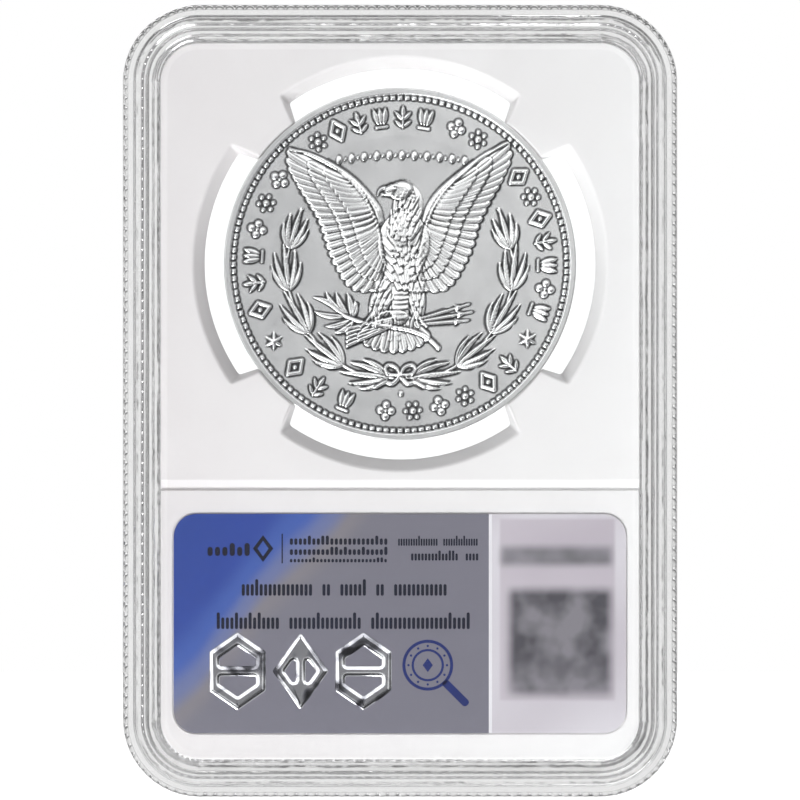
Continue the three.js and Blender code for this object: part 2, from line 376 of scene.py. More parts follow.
class Graph:
    """A short way to add and join shader nodes."""

    def __init__(self, tree: bpy.types.NodeTree) -> None:
        """Works on one node tree."""
        self.tree = tree

    def add(self, kind: str, settings: dict[str, object] | None = None,
            **inputs: object) -> Node:
        """Adds a node.

        Args:
            kind: The node's type.
            settings: Values for the node's own properties.
            **inputs: Values or sockets for its inputs, with _ for a space in their names.

        Returns:
            The new node.
        """
        node = self.tree.nodes.new(kind)
        for key, value in (settings or {}).items():
            setattr(node, key, value)
        for key, value in inputs.items():
            self.set(node, key.replace("_", " "), value)
        return node

    def set(self, node: Node, key: str | int, value: object) -> None:
        """Gives an input a value, or joins a socket to it."""
        socket = node.inputs[key]
        if isinstance(value, bpy.types.NodeSocket):
            self.tree.links.new(value, socket)
        elif isinstance(value, tuple) and socket.type == "RGBA":
            socket.default_value = (*value[:3], 1.0)
        else:
            socket.default_value = value

    def math(self, operation: str, *values: object) -> Socket:
        """Adds a maths node and gives its result."""
        node = self.add("ShaderNodeMath", {"operation": operation})
        for place, value in enumerate(values):
            self.set(node, place, value)
        return node.outputs[0]

    def place(self) -> Socket:
        """The piece's own coordinates."""
        return self.add("ShaderNodeTexCoord").outputs["Object"]

    def axes(self) -> bpy.types.NodeOutputs:
        """The piece's own X, Y and Z, apart."""
        return self.add("ShaderNodeSeparateXYZ", Vector=self.place()).outputs

    def noise(self, scale: object, detail: float = 3.0, where: Socket | None = None,
              distortion: float = 0.0) -> Socket:
        """Adds a noise pattern and gives its value, in the piece's coordinates unless told."""
        return self.add("ShaderNodeTexNoise", Vector=where or self.place(), Scale=scale,
                        Detail=detail, Distortion=distortion).outputs["Fac"]

    def stretched(self, turn: float, scale: Triple) -> Socket:
        """The piece's own coordinates, turned about Y and scaled."""
        node = self.add("ShaderNodeMapping", Vector=self.place())
        node.inputs["Rotation"].default_value = (0.0, turn, 0.0)
        node.inputs["Scale"].default_value = scale
        return node.outputs[0]

    def fade(self, value: Socket, start: float, end: float) -> Socket:
        """Fades smoothly from 0 at one value to 1 at another."""
        return self.add("ShaderNodeMapRange", {"interpolation_type": "SMOOTHSTEP"}, Value=value,
                        From_Min=start, From_Max=end).outputs[0]

    def bumped(self, shader: Node, height: Socket, depth: float) -> None:
        """Gives a shader fine relief of some depth in millimetres."""
        bump = self.add("ShaderNodeBump", Height=height, Distance=depth * MM, Strength=1.0)
        self.set(shader, "Normal", bump.outputs["Normal"])

    def ramp(self, value: Socket, stops: Sequence[tuple[float, tuple[float, ...]]],
             interpolation: str = "LINEAR") -> Socket:
        """Adds a colour ramp.

        Args:
            value: What drives the ramp.
            stops: Places and colours, in order.
            interpolation: How it blends between them.

        Returns:
            The ramp's colour.
        """
        node = self.add("ShaderNodeValToRGB")
        self.set(node, "Fac", value)
        node.color_ramp.interpolation = interpolation
        elements = node.color_ramp.elements
        while len(elements) < len(stops):
            elements.new(0.5)
        for element, (place, colour) in zip(elements, stops):
            element.position = place
            element.color = (*colour, 1.0) if len(colour) == 3 else colour
        return node.outputs["Color"]

    def mix(self, factor: object, first: object, second: object, blend: str = "MIX") -> Socket:
        """Blends a second colour over a first by a factor."""
        node = self.add("ShaderNodeMix", {"data_type": "RGBA", "blend_type": blend})
        self.set(node, 0, factor)
        self.set(node, 6, first)
        self.set(node, 7, second)
        return node.outputs[2]


def new_material(name: str) -> tuple[Finish, Graph, Node, Node]:
    """Starts a material.

    Args:
        name: The finish's name.

    Returns:
        The material, its graph, its Principled shader and its output node.
    """
    material = bpy.data.materials.new(name)
    material.use_nodes = True
    material.node_tree.nodes.clear()
    graph = Graph(material.node_tree)
    shader = graph.add("ShaderNodeBsdfPrincipled")
    output = graph.add("ShaderNodeOutputMaterial")
    graph.set(output, "Surface", shader.outputs["BSDF"])
    return material, graph, shader, output


def start_group(name: str, inputs: Sequence[str], outputs: Sequence[str]
                ) -> tuple[Graph, bpy.types.NodeOutputs, Node]:
    """Starts a shader node group whose sockets are all plain numbers.

    Args:
        name: The group's name.
        inputs: Its inputs' names.
        outputs: Its outputs' names.

    Returns:
        Its graph, the sockets that bring its inputs in, and the node that takes its outputs.
    """
    tree = bpy.data.node_groups.new(name, "ShaderNodeTree")
    for way, labels in (("INPUT", inputs), ("OUTPUT", outputs)):
        for label in labels:
            tree.interface.new_socket(label, in_out=way, socket_type="NodeSocketFloat")
    graph = Graph(tree)
    return graph, graph.add("NodeGroupInput").outputs, graph.add("NodeGroupOutput")


@cache
def handled_surface() -> bpy.types.NodeTree:
    """Builds the group that gives a surface soft mottling and fine handling marks.

    Returns:
        A group with inputs Scale, Marks and Roughness, and outputs Roughness, Height and Mottle.
    """
    graph, entry, leave = start_group("handled_surface", ("Scale", "Marks", "Roughness"),
                                      ("Roughness", "Height", "Mottle"))
    cloud = graph.noise(graph.math("MULTIPLY", entry["Scale"], 0.2), 4.0)
    grain = graph.noise(graph.math("MULTIPLY", entry["Scale"], 6.0), 2.0)
    scratch = graph.noise(entry["Scale"], 6.0, graph.stretched(0.6, (14.0, 1.0, 1.0)))
    marks = graph.math("MULTIPLY", graph.math("POWER", scratch, 6.0), entry["Marks"])
    uneven = graph.math("MULTIPLY_ADD", graph.math("SUBTRACT", cloud, 0.5), 0.35, 1.0)
    worn = graph.math("ADD", marks, uneven)
    graph.set(leave, "Roughness", graph.math("MULTIPLY", worn, entry["Roughness"]))
    graph.set(leave, "Height", graph.math("MULTIPLY_ADD", grain, 0.25, marks))
    graph.set(leave, "Mottle", cloud)
    return graph.tree


def place_handling(graph: Graph, shader: Node, roughness: float, marks: float, scale: float,
                   depth_mm: float) -> Node:
    """Gives a shader the handled surface.

    Args:
        graph: The material's graph.
        shader: Its Principled shader.
        roughness: The finish's mean roughness.
        marks: How strong the handling marks are.
        scale: Pattern size, in repeats per metre.
        depth_mm: How deep the pattern is.

    Returns:
        The placed group node.
    """
    group = graph.add("ShaderNodeGroup", {"node_tree": handled_surface()},
                      Scale=scale, Marks=marks, Roughness=roughness)
    graph.set(shader, "Roughness", group.outputs["Roughness"])
    graph.bumped(shader, group.outputs["Height"], depth_mm)
    return group


# ---- Finishes -------------------------------------------------------------------------------


@cache
def edge_inset() -> bpy.types.NodeTree:
    """Builds the group that measures how far inside the holder's outline a place is.

    Returns:
        A group with inputs Half X, Half Z, Middle Z and Radius, and output Inset, in metres.
    """
    graph, entry, leave = start_group("edge_inset", ("Half X", "Half Z", "Middle Z", "Radius"),
                                      ("Inset",))
    apart = graph.axes()
    up = graph.math("SUBTRACT", apart["Z"], entry["Middle Z"])
    square: list[Socket] = []
    for off, label in ((apart["X"], "Half X"), (up, "Half Z")):
        core = graph.math("SUBTRACT", entry[label], entry["Radius"])
        past = graph.math("SUBTRACT", graph.math("ABSOLUTE", off), core)
        past = graph.math("MAXIMUM", past, 0.0)
        square.append(graph.math("MULTIPLY", past, past))
    reach = graph.math("SQRT", graph.math("ADD", *square))
    graph.set(leave, "Inset", graph.math("SUBTRACT", entry["Radius"], reach))
    return graph.tree


@dataclass(frozen=True)
class ClearPlastic:
    """Clear polystyrene: polished over its windows, softer and wavier round its rims."""

    edge: RoundedEdge
    name: str = "clear_polystyrene"
    index: float = 1.49
    roughness: float = 0.012
    rim_start: float = 3.7
    rim_end: float = 4.3
    rim_roughness: float = 0.1
    rim_wave: float = 0.2
    rim_tint: Triple = (0.80, 0.80, 0.80)
    tint: Triple = (0.985, 0.99, 0.99)

    def make(self) -> Finish:
        """Makes the material: refracting plastic that light passes through to what it covers."""
        material, graph, shader, output = new_material(self.name)
        shader.inputs["Metallic"].default_value = 0.0
        shader.inputs["Transmission Weight"].default_value = 1.0
        shader.inputs["IOR"].default_value = self.index
        group = graph.add("ShaderNodeGroup", {"node_tree": handled_surface()},
                          Scale=700.0, Marks=0.6)
        inset = graph.add("ShaderNodeGroup", {"node_tree": edge_inset()})
        for label, value in (("Half X", self.edge.width / 2), ("Half Z", self.edge.height / 2),
                             ("Middle Z", self.edge.middle_z), ("Radius", self.edge.radius)):
            inset.inputs[label].default_value = value * MM
        share = graph.fade(inset.outputs["Inset"], self.rim_end * MM, self.rim_start * MM)
        graph.set(group, "Roughness", graph.math("MULTIPLY_ADD", share,
                                                 self.rim_roughness - self.roughness,
                                                 self.roughness))
        graph.set(shader, "Roughness", group.outputs["Roughness"])
        graph.set(shader, "Base Color", graph.mix(share, self.tint, self.rim_tint))
        graph.bumped(shader, graph.math("MULTIPLY", graph.noise(190.0), share), self.rim_wave)
        passing = graph.add("ShaderNodeBsdfTransparent", Color=(*self.tint, 1.0))
        light = graph.add("ShaderNodeLightPath")
        mixed = graph.add("ShaderNodeMixShader")
        graph.set(mixed, 0, light.outputs["Is Shadow Ray"])
        graph.set(mixed, 1, shader.outputs["BSDF"])
        graph.set(mixed, 2, passing.outputs["BSDF"])
        graph.set(output, "Surface", mixed.outputs[0])
        return material


@dataclass(frozen=True)
class MouldedWhite:
    """Smooth white moulded plastic with a faint sheen, slight unevenness and painted light that
    darkens it towards the left.
    """

    name: str = "moulded_white"
    colour: Triple = (0.90, 0.893, 0.893)
    # shade is the dark end for both random mottle and painted shade; lean sets a painted light
    # gradient, darker towards the left.
    shade: Triple = (0.775, 0.745, 0.752)
    lean: float = 0.6 / (60 * MM)
    roughness: float = 0.42

    def make(self) -> Finish:
        """Makes the material."""
        material, graph, shader, _ = new_material(self.name)
        group = place_handling(graph, shader, self.roughness, 0.15, 500.0, 0.006)
        # Painted light: random mottle plus a gradient across X that darkens the insert towards the
        # left.
        mottle_and_painted_light = graph.math("MULTIPLY_ADD", group.outputs["Mottle"], 0.3,
                           graph.math("MULTIPLY_ADD", graph.axes()["X"], self.lean, 0.35))
        graph.set(shader, "Base Color",
                  graph.ramp(mottle_and_painted_light, [(0.2, self.shade), (0.8, self.colour)]))
        shader.inputs["Specular IOR Level"].default_value = 0.4
        return material


@dataclass(frozen=True)
class StruckSilver:
    """Freshly struck silver: satin fields, with painted highlights on high points, painted shade in
    hollows and a painted light gradient that darkens it towards the left.
    """

    name: str = "struck_silver"
    # bright paints highlights on the crests; the hollow colour paints shade in the hollows.
    bright: Triple = (0.98, 0.98, 0.98)
    field: Triple = (0.93, 0.93, 0.93)
    hollow_shade: Triple = (0.025, 0.025, 0.025)
    # lean sets a painted light gradient, darker towards the left.
    lean: float = 0.5 / (40 * MM)
    roughness: float = 0.205

    def make(self) -> Finish:
        """Makes the material, with painted shade in hollows and painted highlights on crests from
        the mask that the relief carries.
        """
        material, graph, shader, _ = new_material(self.name)
        group = place_handling(graph, shader, self.roughness, 0.1, 1600.0, 0.0025)
        # Painted shading: the mask darkens hollows nearly to black and brightens crests.
        mask = graph.add("ShaderNodeAttribute", {"attribute_name": Relief.SHADING_MASK})
        tone = graph.ramp(mask.outputs["Fac"], [
            (0.0, self.hollow_shade), (0.25, (0.16, 0.16, 0.16)), (0.42, (0.66, 0.66, 0.66)),
            (0.49, self.field), (0.8, self.bright)])
        # Painted light: random mottle plus a gradient across X that darkens the coin towards the
        # left.
        mottle_and_painted_light = graph.math("MULTIPLY_ADD", group.outputs["Mottle"], 0.16,
                           graph.math("MULTIPLY_ADD", graph.axes()["X"], self.lean, 0.42))
        cloud = graph.ramp(mottle_and_painted_light, [(0.3, (0.82, 0.82, 0.825)), (0.7, (1.0, 1.0, 1.0))])
        graph.set(shader, "Base Color", graph.mix(1.0, tone, cloud, "MULTIPLY"))
        shader.inputs["Metallic"].default_value = 1.0
        return material


@dataclass(frozen=True)
class ReededSilver:
    """The coin's milled edge."""

    name: str = "reeded_silver"
    colour: Triple = (0.86, 0.86, 0.86)
    roughness: float = 0.22

    def make(self) -> Finish:
        """Makes the material."""
        material, graph, shader, _ = new_material(self.name)
        group = place_handling(graph, shader, self.roughness, 0.2, 1600.0, 0.003)
        dark = tuple(c * 0.85 for c in self.colour)
        colour = graph.ramp(group.outputs["Mottle"], [(0.3, dark), (0.6, self.colour)])
        graph.set(shader, "Base Color", colour)
        shader.inputs["Metallic"].default_value = 1.0
        return material


@dataclass(frozen=True)
class MirrorFoil:
    """Hot-stamped mirror foil with painted reflections."""

    name: str = "mirror_foil"
    roughness: float = 0.07

    def make(self) -> Finish:
        """Makes the material: bright metal with painted reflections, soft dark and light sweeps
        across it.
        """
        material, graph, shader, _ = new_material(self.name)
        place_handling(graph, shader, self.roughness, 0.5, 1200.0, 0.004)
        # Painted reflection: a noise sweep sets the metal's colour from near black to white.
        wave = graph.noise(330.0, 1.0, graph.stretched(0.9, (1.0, 1.0, 1.0)), 0.8)
        colour = graph.ramp(wave, [
            (0.34, (0.05, 0.05, 0.06)), (0.42, (0.55, 0.55, 0.6)), (0.5, (0.96, 0.96, 0.98)),
            (0.66, (0.9, 0.9, 0.93)), (0.76, (0.3, 0.3, 0.34))])
        graph.set(shader, "Base Color", colour)
        shader.inputs["Metallic"].default_value = 1.0
        return material


@cache
def soft_rectangle() -> bpy.types.NodeTree:
    """Builds the group that masks a soft-edged rectangle in X and Z.

    Returns:
        A group with inputs Centre X, Centre Z, Half X, Half Z and Softness, and output Mask.
    """
    graph, entry, leave = start_group(
        "soft_rectangle", ("Centre X", "Centre Z", "Half X", "Half Z", "Softness"), ("Mask",))
    apart = graph.axes()
    sides: list[Socket] = []
    for axis in ("X", "Z"):
        off = graph.math("SUBTRACT", apart[axis], entry[f"Centre {axis}"])
        inside = graph.math("SUBTRACT", entry[f"Half {axis}"], graph.math("ABSOLUTE", off))
        sides.append(graph.fade(graph.math("DIVIDE", inside, entry["Softness"]), -0.5, 0.5))
    graph.set(leave, "Mask", graph.math("MULTIPLY", *sides))
    return graph.tree


@dataclass(frozen=True)
class SoftPatch:
    """A soft-edged patch of print: its middle, its size, its two tones and how soft it is."""

    centre: Pair
    size: Pair
    dark: Triple
    light: Triple
    scale: float
    softness: float

    def lay(self, graph: Graph, under: Socket) -> Socket:
        """Lays the patch over a colour and gives the new colour."""
        mask = graph.add("ShaderNodeGroup", {"node_tree": soft_rectangle()})
        for label, value in (("Centre X", self.centre[0]), ("Centre Z", self.centre[1]),
                             ("Half X", self.size[0] / 2), ("Half Z", self.size[1] / 2),
                             ("Softness", self.softness)):
            mask.inputs[label].default_value = value * MM
        tone = graph.ramp(graph.noise(self.scale, 2.0), [(0.36, self.dark), (0.66, self.light)])
        return graph.mix(mask.outputs["Mask"], under, tone)


@dataclass(frozen=True)
class CardShades:
    """A card's colours, from its upper-left corner, and what is printed softly over them."""

    name: str
    stops: tuple[tuple[float, Triple], ...]
    panel: Triple | None = None
    panel_from: float = 0.0
    panel_dip: Triple = (0.0, 0.0, 0.0)
    patches: tuple[SoftPatch, ...] = ()


@dataclass(frozen=True)
class PrintedCard:
    """A coated card printed with soft diagonal shades, and a pale panel at one end."""

    shades: CardShades
    block: Block
    roughness: float = 0.38

    def make(self) -> Finish:
        """Makes the material."""
        material, graph, shader, _ = new_material(self.shades.name)
        place_handling(graph, shader, self.roughness, 0.1, 700.0, 0.003)
        apart = graph.axes()
        width, _, height = self.block.size
        across = graph.math("DIVIDE", graph.math("SUBTRACT", apart["X"], self.block.low[0] * MM),
                            width * MM)
        down = graph.math("DIVIDE", graph.math("SUBTRACT", self.block.high[2] * MM, apart["Z"]),
                          height * MM)
        cloud = graph.noise(75.0, 2.0, graph.stretched(-0.6, (1.0, 1.0, 0.35)))
        slant = graph.math("MULTIPLY_ADD", down, 0.425, across)
        drift = graph.math("MULTIPLY_ADD", graph.math("SUBTRACT", cloud, 0.5), 0.16, slant)
        colour = graph.ramp(drift, self.shades.stops, "EASE")
        if self.shades.panel is not None:
            edge = graph.math("GREATER_THAN", apart["X"], self.shades.panel_from * MM)
            pale = graph.ramp(graph.noise(45.0, 1.0),
                              [(0.35, self.shades.panel_dip), (0.6, self.shades.panel)])
            colour = graph.mix(edge, colour, pale)
        for patch in self.shades.patches:
            colour = patch.lay(graph, colour)
        graph.set(shader, "Base Color", colour)
        shader.inputs["Specular IOR Level"].default_value = 0.35
        return material


@dataclass(frozen=True)
class Ink:
    """A thin layer of printing ink, a little uneven."""

    name: str
    colour: Triple
    unevenness: float = 0.25
    scale: float = 900.0

    def make(self) -> Finish:
        """Makes the material."""
        material, graph, shader, _ = new_material(self.name)
        group = place_handling(graph, shader, 0.4, 0.1, self.scale, 0.002)
        light = tuple(min(1.0, c * (1 + self.unevenness)) for c in self.colour)
        colour = graph.ramp(group.outputs["Mottle"], [(0.35, self.colour), (0.65, light)])
        shader.inputs["Specular IOR Level"].default_value = 0.2
        graph.set(shader, "Base Color", colour)
        return material


# ---- Shells ---------------------------------------------------------------------------------


class Side(Enum):
    """The two faces of the holder."""

    BACK = -1
    FRONT = 1


@dataclass
class Shell:
    """One of the two clear shells, swept round the holder's outline from a rounded section."""

    side: Side
    edge: RoundedEdge
    crest: float = 4.0
    window_outer: float = 3.0
    window_inner: float = 1.9
    parting: float = -0.4
    wall_inset: float = 3.8
    centre_inset: float = 5.0
    tongue: Pair = (1.6, 2.4)
    tongue_end: float = 1.0
    seam_gap: float = 0.03
    groove_gap: Pair = (0.1, 0.2)
    rib_pitch: float = 1.08
    rib_height: float = 0.5
    rib_samples: int = 6
    rib_top: float = -3.2
    rib_run: float = 0.42
    shoulder_inset: float = 0.62
    corner_steps: int = 26

    def section(self) -> tuple[Array, Array]:
        """The shell's section, from the outer to the inner face of its window.

        Returns:
            Points of inset and Y, and how far the grip ribs lift each point.
        """
        out, wall = self.window_outer, self.window_inner
        first, last = self.tongue
        if self.side is Side.FRONT:
            gap, end_gap = self.groove_gap
            groove = self.tongue_end + end_gap
            corners = [
                (self.centre_inset, out, 0), (3.9, out, 0.12), (3.65, self.crest, 0.12),
                (3.05, self.crest, 0.12), (2.8, 3.3, 0.1), (0.0, 3.3, 0.45),
                (0.0, self.parting, 0.1), (first - gap, self.parting, 0.05),
                (first - gap, groove, 0.08), (last + gap, groove, 0.08),
                (last + gap, self.parting, 0.05), (self.wall_inset, self.parting, 0.05),
                (self.wall_inset, wall, 0.3), (self.centre_inset, wall, 0)]
        else:
            low, shoulder, seam = -self.crest, -3.4, self.parting - self.seam_gap
            corners = [
                (self.centre_inset, -out, 0), (2.9, -out, 0.1), (2.7, -3.35, 0.08),
                (2.35, -3.35, 0.08), (2.15, low, 0.14), (1.5, low, 0.14), (1.25, shoulder, 0.1),
                (self.shoulder_inset, shoulder, 0.12),
                *((self.shoulder_inset, self.rib_top + self.rib_run * step, 0)
                  for step in (0.0, 0.1, 0.3, 0.6, 1.0)),
                (self.shoulder_inset, seam, 0), (first, seam, 0.05),
                (first, self.tongue_end, 0.1), (last, self.tongue_end, 0.1),
                (last, seam, 0.05), (self.wall_inset, seam, 0.05),
                (self.wall_inset, -wall, 0.3), (self.centre_inset, -wall, 0)]
        points = fillet_corners(np.array([c[:2] for c in corners]), [c[2] for c in corners], 3)
        lift = np.zeros(len(points))
        if self.side is Side.BACK:
            on_wall = np.isclose(points[:, 0], self.shoulder_inset)
            run = np.clip((points[:, 1] - self.rib_top) / self.rib_run, 0, 1)
            lift[on_wall] = np.sqrt(1 - (1 - run[on_wall]) ** 2)
        return points, lift

    def build(self, finish: Finish) -> Piece:
        """Makes the shell and dresses it."""
        ribbed = self.side is Side.BACK
        points, lift = self.section()
        if ribbed:
            around = 2 * (self.edge.width + self.edge.height - 4 * self.edge.radius)
            around += 2 * math.pi * (self.edge.radius - self.shoulder_inset)
            ribs = round(around / self.rib_pitch)
            samples = np.arange(ribs * self.rib_samples)
            base, outward = self.edge.stations(samples / len(samples))
            phase = samples % self.rib_samples / self.rib_samples
            rise = self.rib_height * np.sqrt(np.clip(1 - (2 * phase - 1) ** 2, 0, 1))
        else:
            base, outward = self.edge.stations(self.edge.shares(self.corner_steps))
            rise = np.zeros(len(base))
        reach = self.edge.radius - points[None, :, 0] + rise[:, None] * lift[None, :]
        flat = base[:, None, :] + outward[:, None, :] * reach[:, :, None]
        grid = np.stack([flat[..., 0], np.broadcast_to(points[:, 1], reach.shape), flat[..., 1]],
                        axis=-1)
        surface = Surface()
        surface.grid(grid, wrap=True)
        surface.face(grid[:, 0])
        surface.face(grid[:, -1])
        name = f"{self.side.name.lower()}_shell"
        return seat(surface.finish(f"clear_{name}", sharp_degrees=60.0), finish, "clear_shell",
                    name)


# ---- Insert ---------------------------------------------------------------------------------


@dataclass
class Insert:
    """The white insert: coin deck with prongs and openings, sloping step and label bays."""

    edge: RoundedEdge
    coin_centre: Pair
    inset: float = 4.0
    deck: float = 1.8
    bay: float = 1.2
    pocket: float = 1.05
    bay_top: float = 33.5
    deck_bottom: float = 34.3
    edge_round: float = 0.25
    groove: float = 0.4
    coin_radius: float = 19.05
    grip_gap: float = 0.04
    opening: float = 2.0
    draft: float = 1.3
    prong_half: float = math.radians(8.7)
    prong_flare: float = math.radians(1.9)
    end_draft: float = 0.35
    label: tuple[float, float, float, float, float] = (-24.6, 6.8, 49.2, 24.0, 2.6)
    corner_steps: int = 16
    round_steps: int = 4

    def hole(self, openness: float, grow: float) -> Array:
        """The outline of the coin's hole with its four openings.

        Args:
            openness: 0 at the narrow waist and 1 at the insert's faces.
            grow: How much further out every wall stands, for the rounded rim of the hole.

        Returns:
            Points of X and Z, counter-clockwise.
        """
        tip = self.coin_radius + self.grip_gap
        far = self.coin_radius + self.opening + self.draft * openness
        widen = self.end_draft * openness
        near_angle = math.pi / 4 - self.prong_half + widen / tip
        far_angle = math.pi / 4 - self.prong_half - self.prong_flare + widen / far
        tip_angles = np.linspace(-math.pi / 4, -near_angle, 6)
        far_angles = np.linspace(-far_angle, far_angle, 41)
        polar = [(tip, a, 0.0) for a in tip_angles[:-1]]
        polar += [(tip, -near_angle, 0.18)]
        polar += [(far, a, 0.35 if i in (0, 40) else 0.0) for i, a in enumerate(far_angles)]
        polar += [(tip, near_angle, 0.18)]
        polar += [(tip, -a, 0.0) for a in tip_angles[1:-1][::-1]]
        loops = []
        for turn in range(4):
            loops += [(r, a + turn * math.pi / 2, f) for r, a, f in polar]
        points = np.array([(r * math.cos(a), r * math.sin(a)) for r, a, _ in loops])
        rounded = fillet_corners(points, [f for _, _, f in loops], 4, closed=True)
        rounded = rounded + outline_normals(rounded) * grow
        return rounded + np.array(self.coin_centre)

    def step_profile(self) -> Array:
        """The sloping step's line of Z and depth, from the bay up to the deck."""
        top, bay = self.bay_top, self.bay
        corners = np.array([(top - 0.9, bay), (top - 0.35, bay), (top - 0.25, bay - self.groove),
                            (top - 0.1, bay - self.groove), (top + 0.05, bay),
                            (self.deck_bottom, self.deck), (self.deck_bottom + 0.6, self.deck)])
        return fillet_corners(corners, [0, 0.08, 0.05, 0.05, 0.08, 0.3, 0], self.round_steps)

    def _rim(self) -> Array:
        """How far in and how far below its surface the rounded edge of a face lies."""
        turn = np.linspace(0, math.pi / 2, self.round_steps + 1)
        return np.column_stack([self.edge_round * (1 - np.sin(turn)),
                                self.edge_round * (1 - np.cos(turn))])

    def _stations(self, step: Array) -> tuple[Array, Array, Array]:
        """Places round the insert's edge, with the depth of its faces there."""
        base, outward = self.edge.stations(self.edge.shares(self.corner_steps))
        places: list[tuple[Array, Array]] = []
        for i in range(len(base)):
            places.append((base[i], outward[i]))
            ahead = (i + 1) % len(base)
            on_side = abs(base[i][0] - base[ahead][0]) < 1e-6 and abs(outward[i][0]) > 0.999
            if on_side and abs(base[ahead][1] - base[i][1]) > self.edge_round:
                heights = step[:, 0] if base[ahead][1] > base[i][1] else step[::-1, 0]
                places += [(np.array([base[i][0], z]), outward[i]) for z in heights]
        where = np.array([p[0] for p in places])
        facing = np.array([p[1] for p in places])
        depth = np.interp(where[:, 1], step[:, 0], step[:, 1])
        return where, facing, depth

    def build(self, finish: Finish) -> Piece:
        """Makes the insert and dresses it."""
        step, rim = self.step_profile(), self._rim()
        base, outward, depth = self._stations(step)
        surface = Surface()
        sinks = np.concatenate([rim[:, 0], rim[::-1, 0]])
        reach = self.edge.radius - self.inset - sinks
        flat = base[:, None, :] + outward[:, None, :] * reach[None, :, None]
        y_back = -depth[:, None] + rim[None, :, 1]
        y_all = np.concatenate([y_back, -y_back[:, ::-1]], axis=1)
        surface.grid(np.stack([flat[..., 0], y_all, flat[..., 1]], axis=-1), wrap=True)
        inner = flat[:, 0]
        upper = inner[inner[:, 1] >= step[-1, 0] - 1e-6]
        lower = inner[inner[:, 1] <= step[0, 0] + 1e-6]
        upper, lower = self._ordered(upper), self._ordered(lower)
        left, right = inner[:, 0].min(), inner[:, 0].max()
        levels = self._hole_levels(rim)
        walls = [self.hole(abs(y) / self.deck, grow) for y, grow in levels]
        surface.grid(np.stack([stand(w, y) for w, (y, _) in zip(walls, levels)], axis=1),
                     wrap=True)
        card = rectangle(*self.label[:4], self.label[4])
        for side in (-1, 1):
            surface.pierced(upper, [walls[0] if side < 0 else walls[-1]], side * self.deck)
            strip = np.array([[(x, side * d, z) for x in (left, right)] for z, d in step])
            surface.grid(strip, wrap=False)
            surface.pierced(lower, [card], side * self.bay)
            pocket = np.stack([stand(card, side * y) for y in (self.bay, self.pocket)], axis=1)
            surface.grid(pocket, wrap=True)
            surface.face(pocket[:, -1])
        return seat(surface.finish("white_insert"), finish, "white_insert", "coin_insert")

    def _hole_levels(self, rim: Array) -> list[Pair]:
        """The Y of each ring of the hole's wall, and how much its rim's rounding grows it."""
        edge = [(-self.deck + drop, sink) for sink, drop in rim]
        middle = [(-self.deck * 0.45, 0.0), (-0.1, 0.0), (0.1, 0.0), (self.deck * 0.45, 0.0)]
        return edge + middle + [(-y, grow) for y, grow in edge[::-1]]

    def _ordered(self, loop: Array) -> Array:
        """Sorts the points of a convex outline counter-clockwise about their middle."""
        middle = loop.mean(axis=0)
        angle = np.arctan2(loop[:, 1] - middle[1], loop[:, 0] - middle[0])
        ordered = loop[np.argsort(angle)]
        apart = np.linalg.norm(ordered - np.roll(ordered, 1, axis=0), axis=1) > 1e-6
        return ordered[apart]


# ---- Struck relief --------------------------------------------------------------------------


class Blade(Enum):
    """The outlines a long raised shape can have."""

    FEATHER = "feather"
    LEAF = "leaf"


Place = Callable[[float, float], Pair]


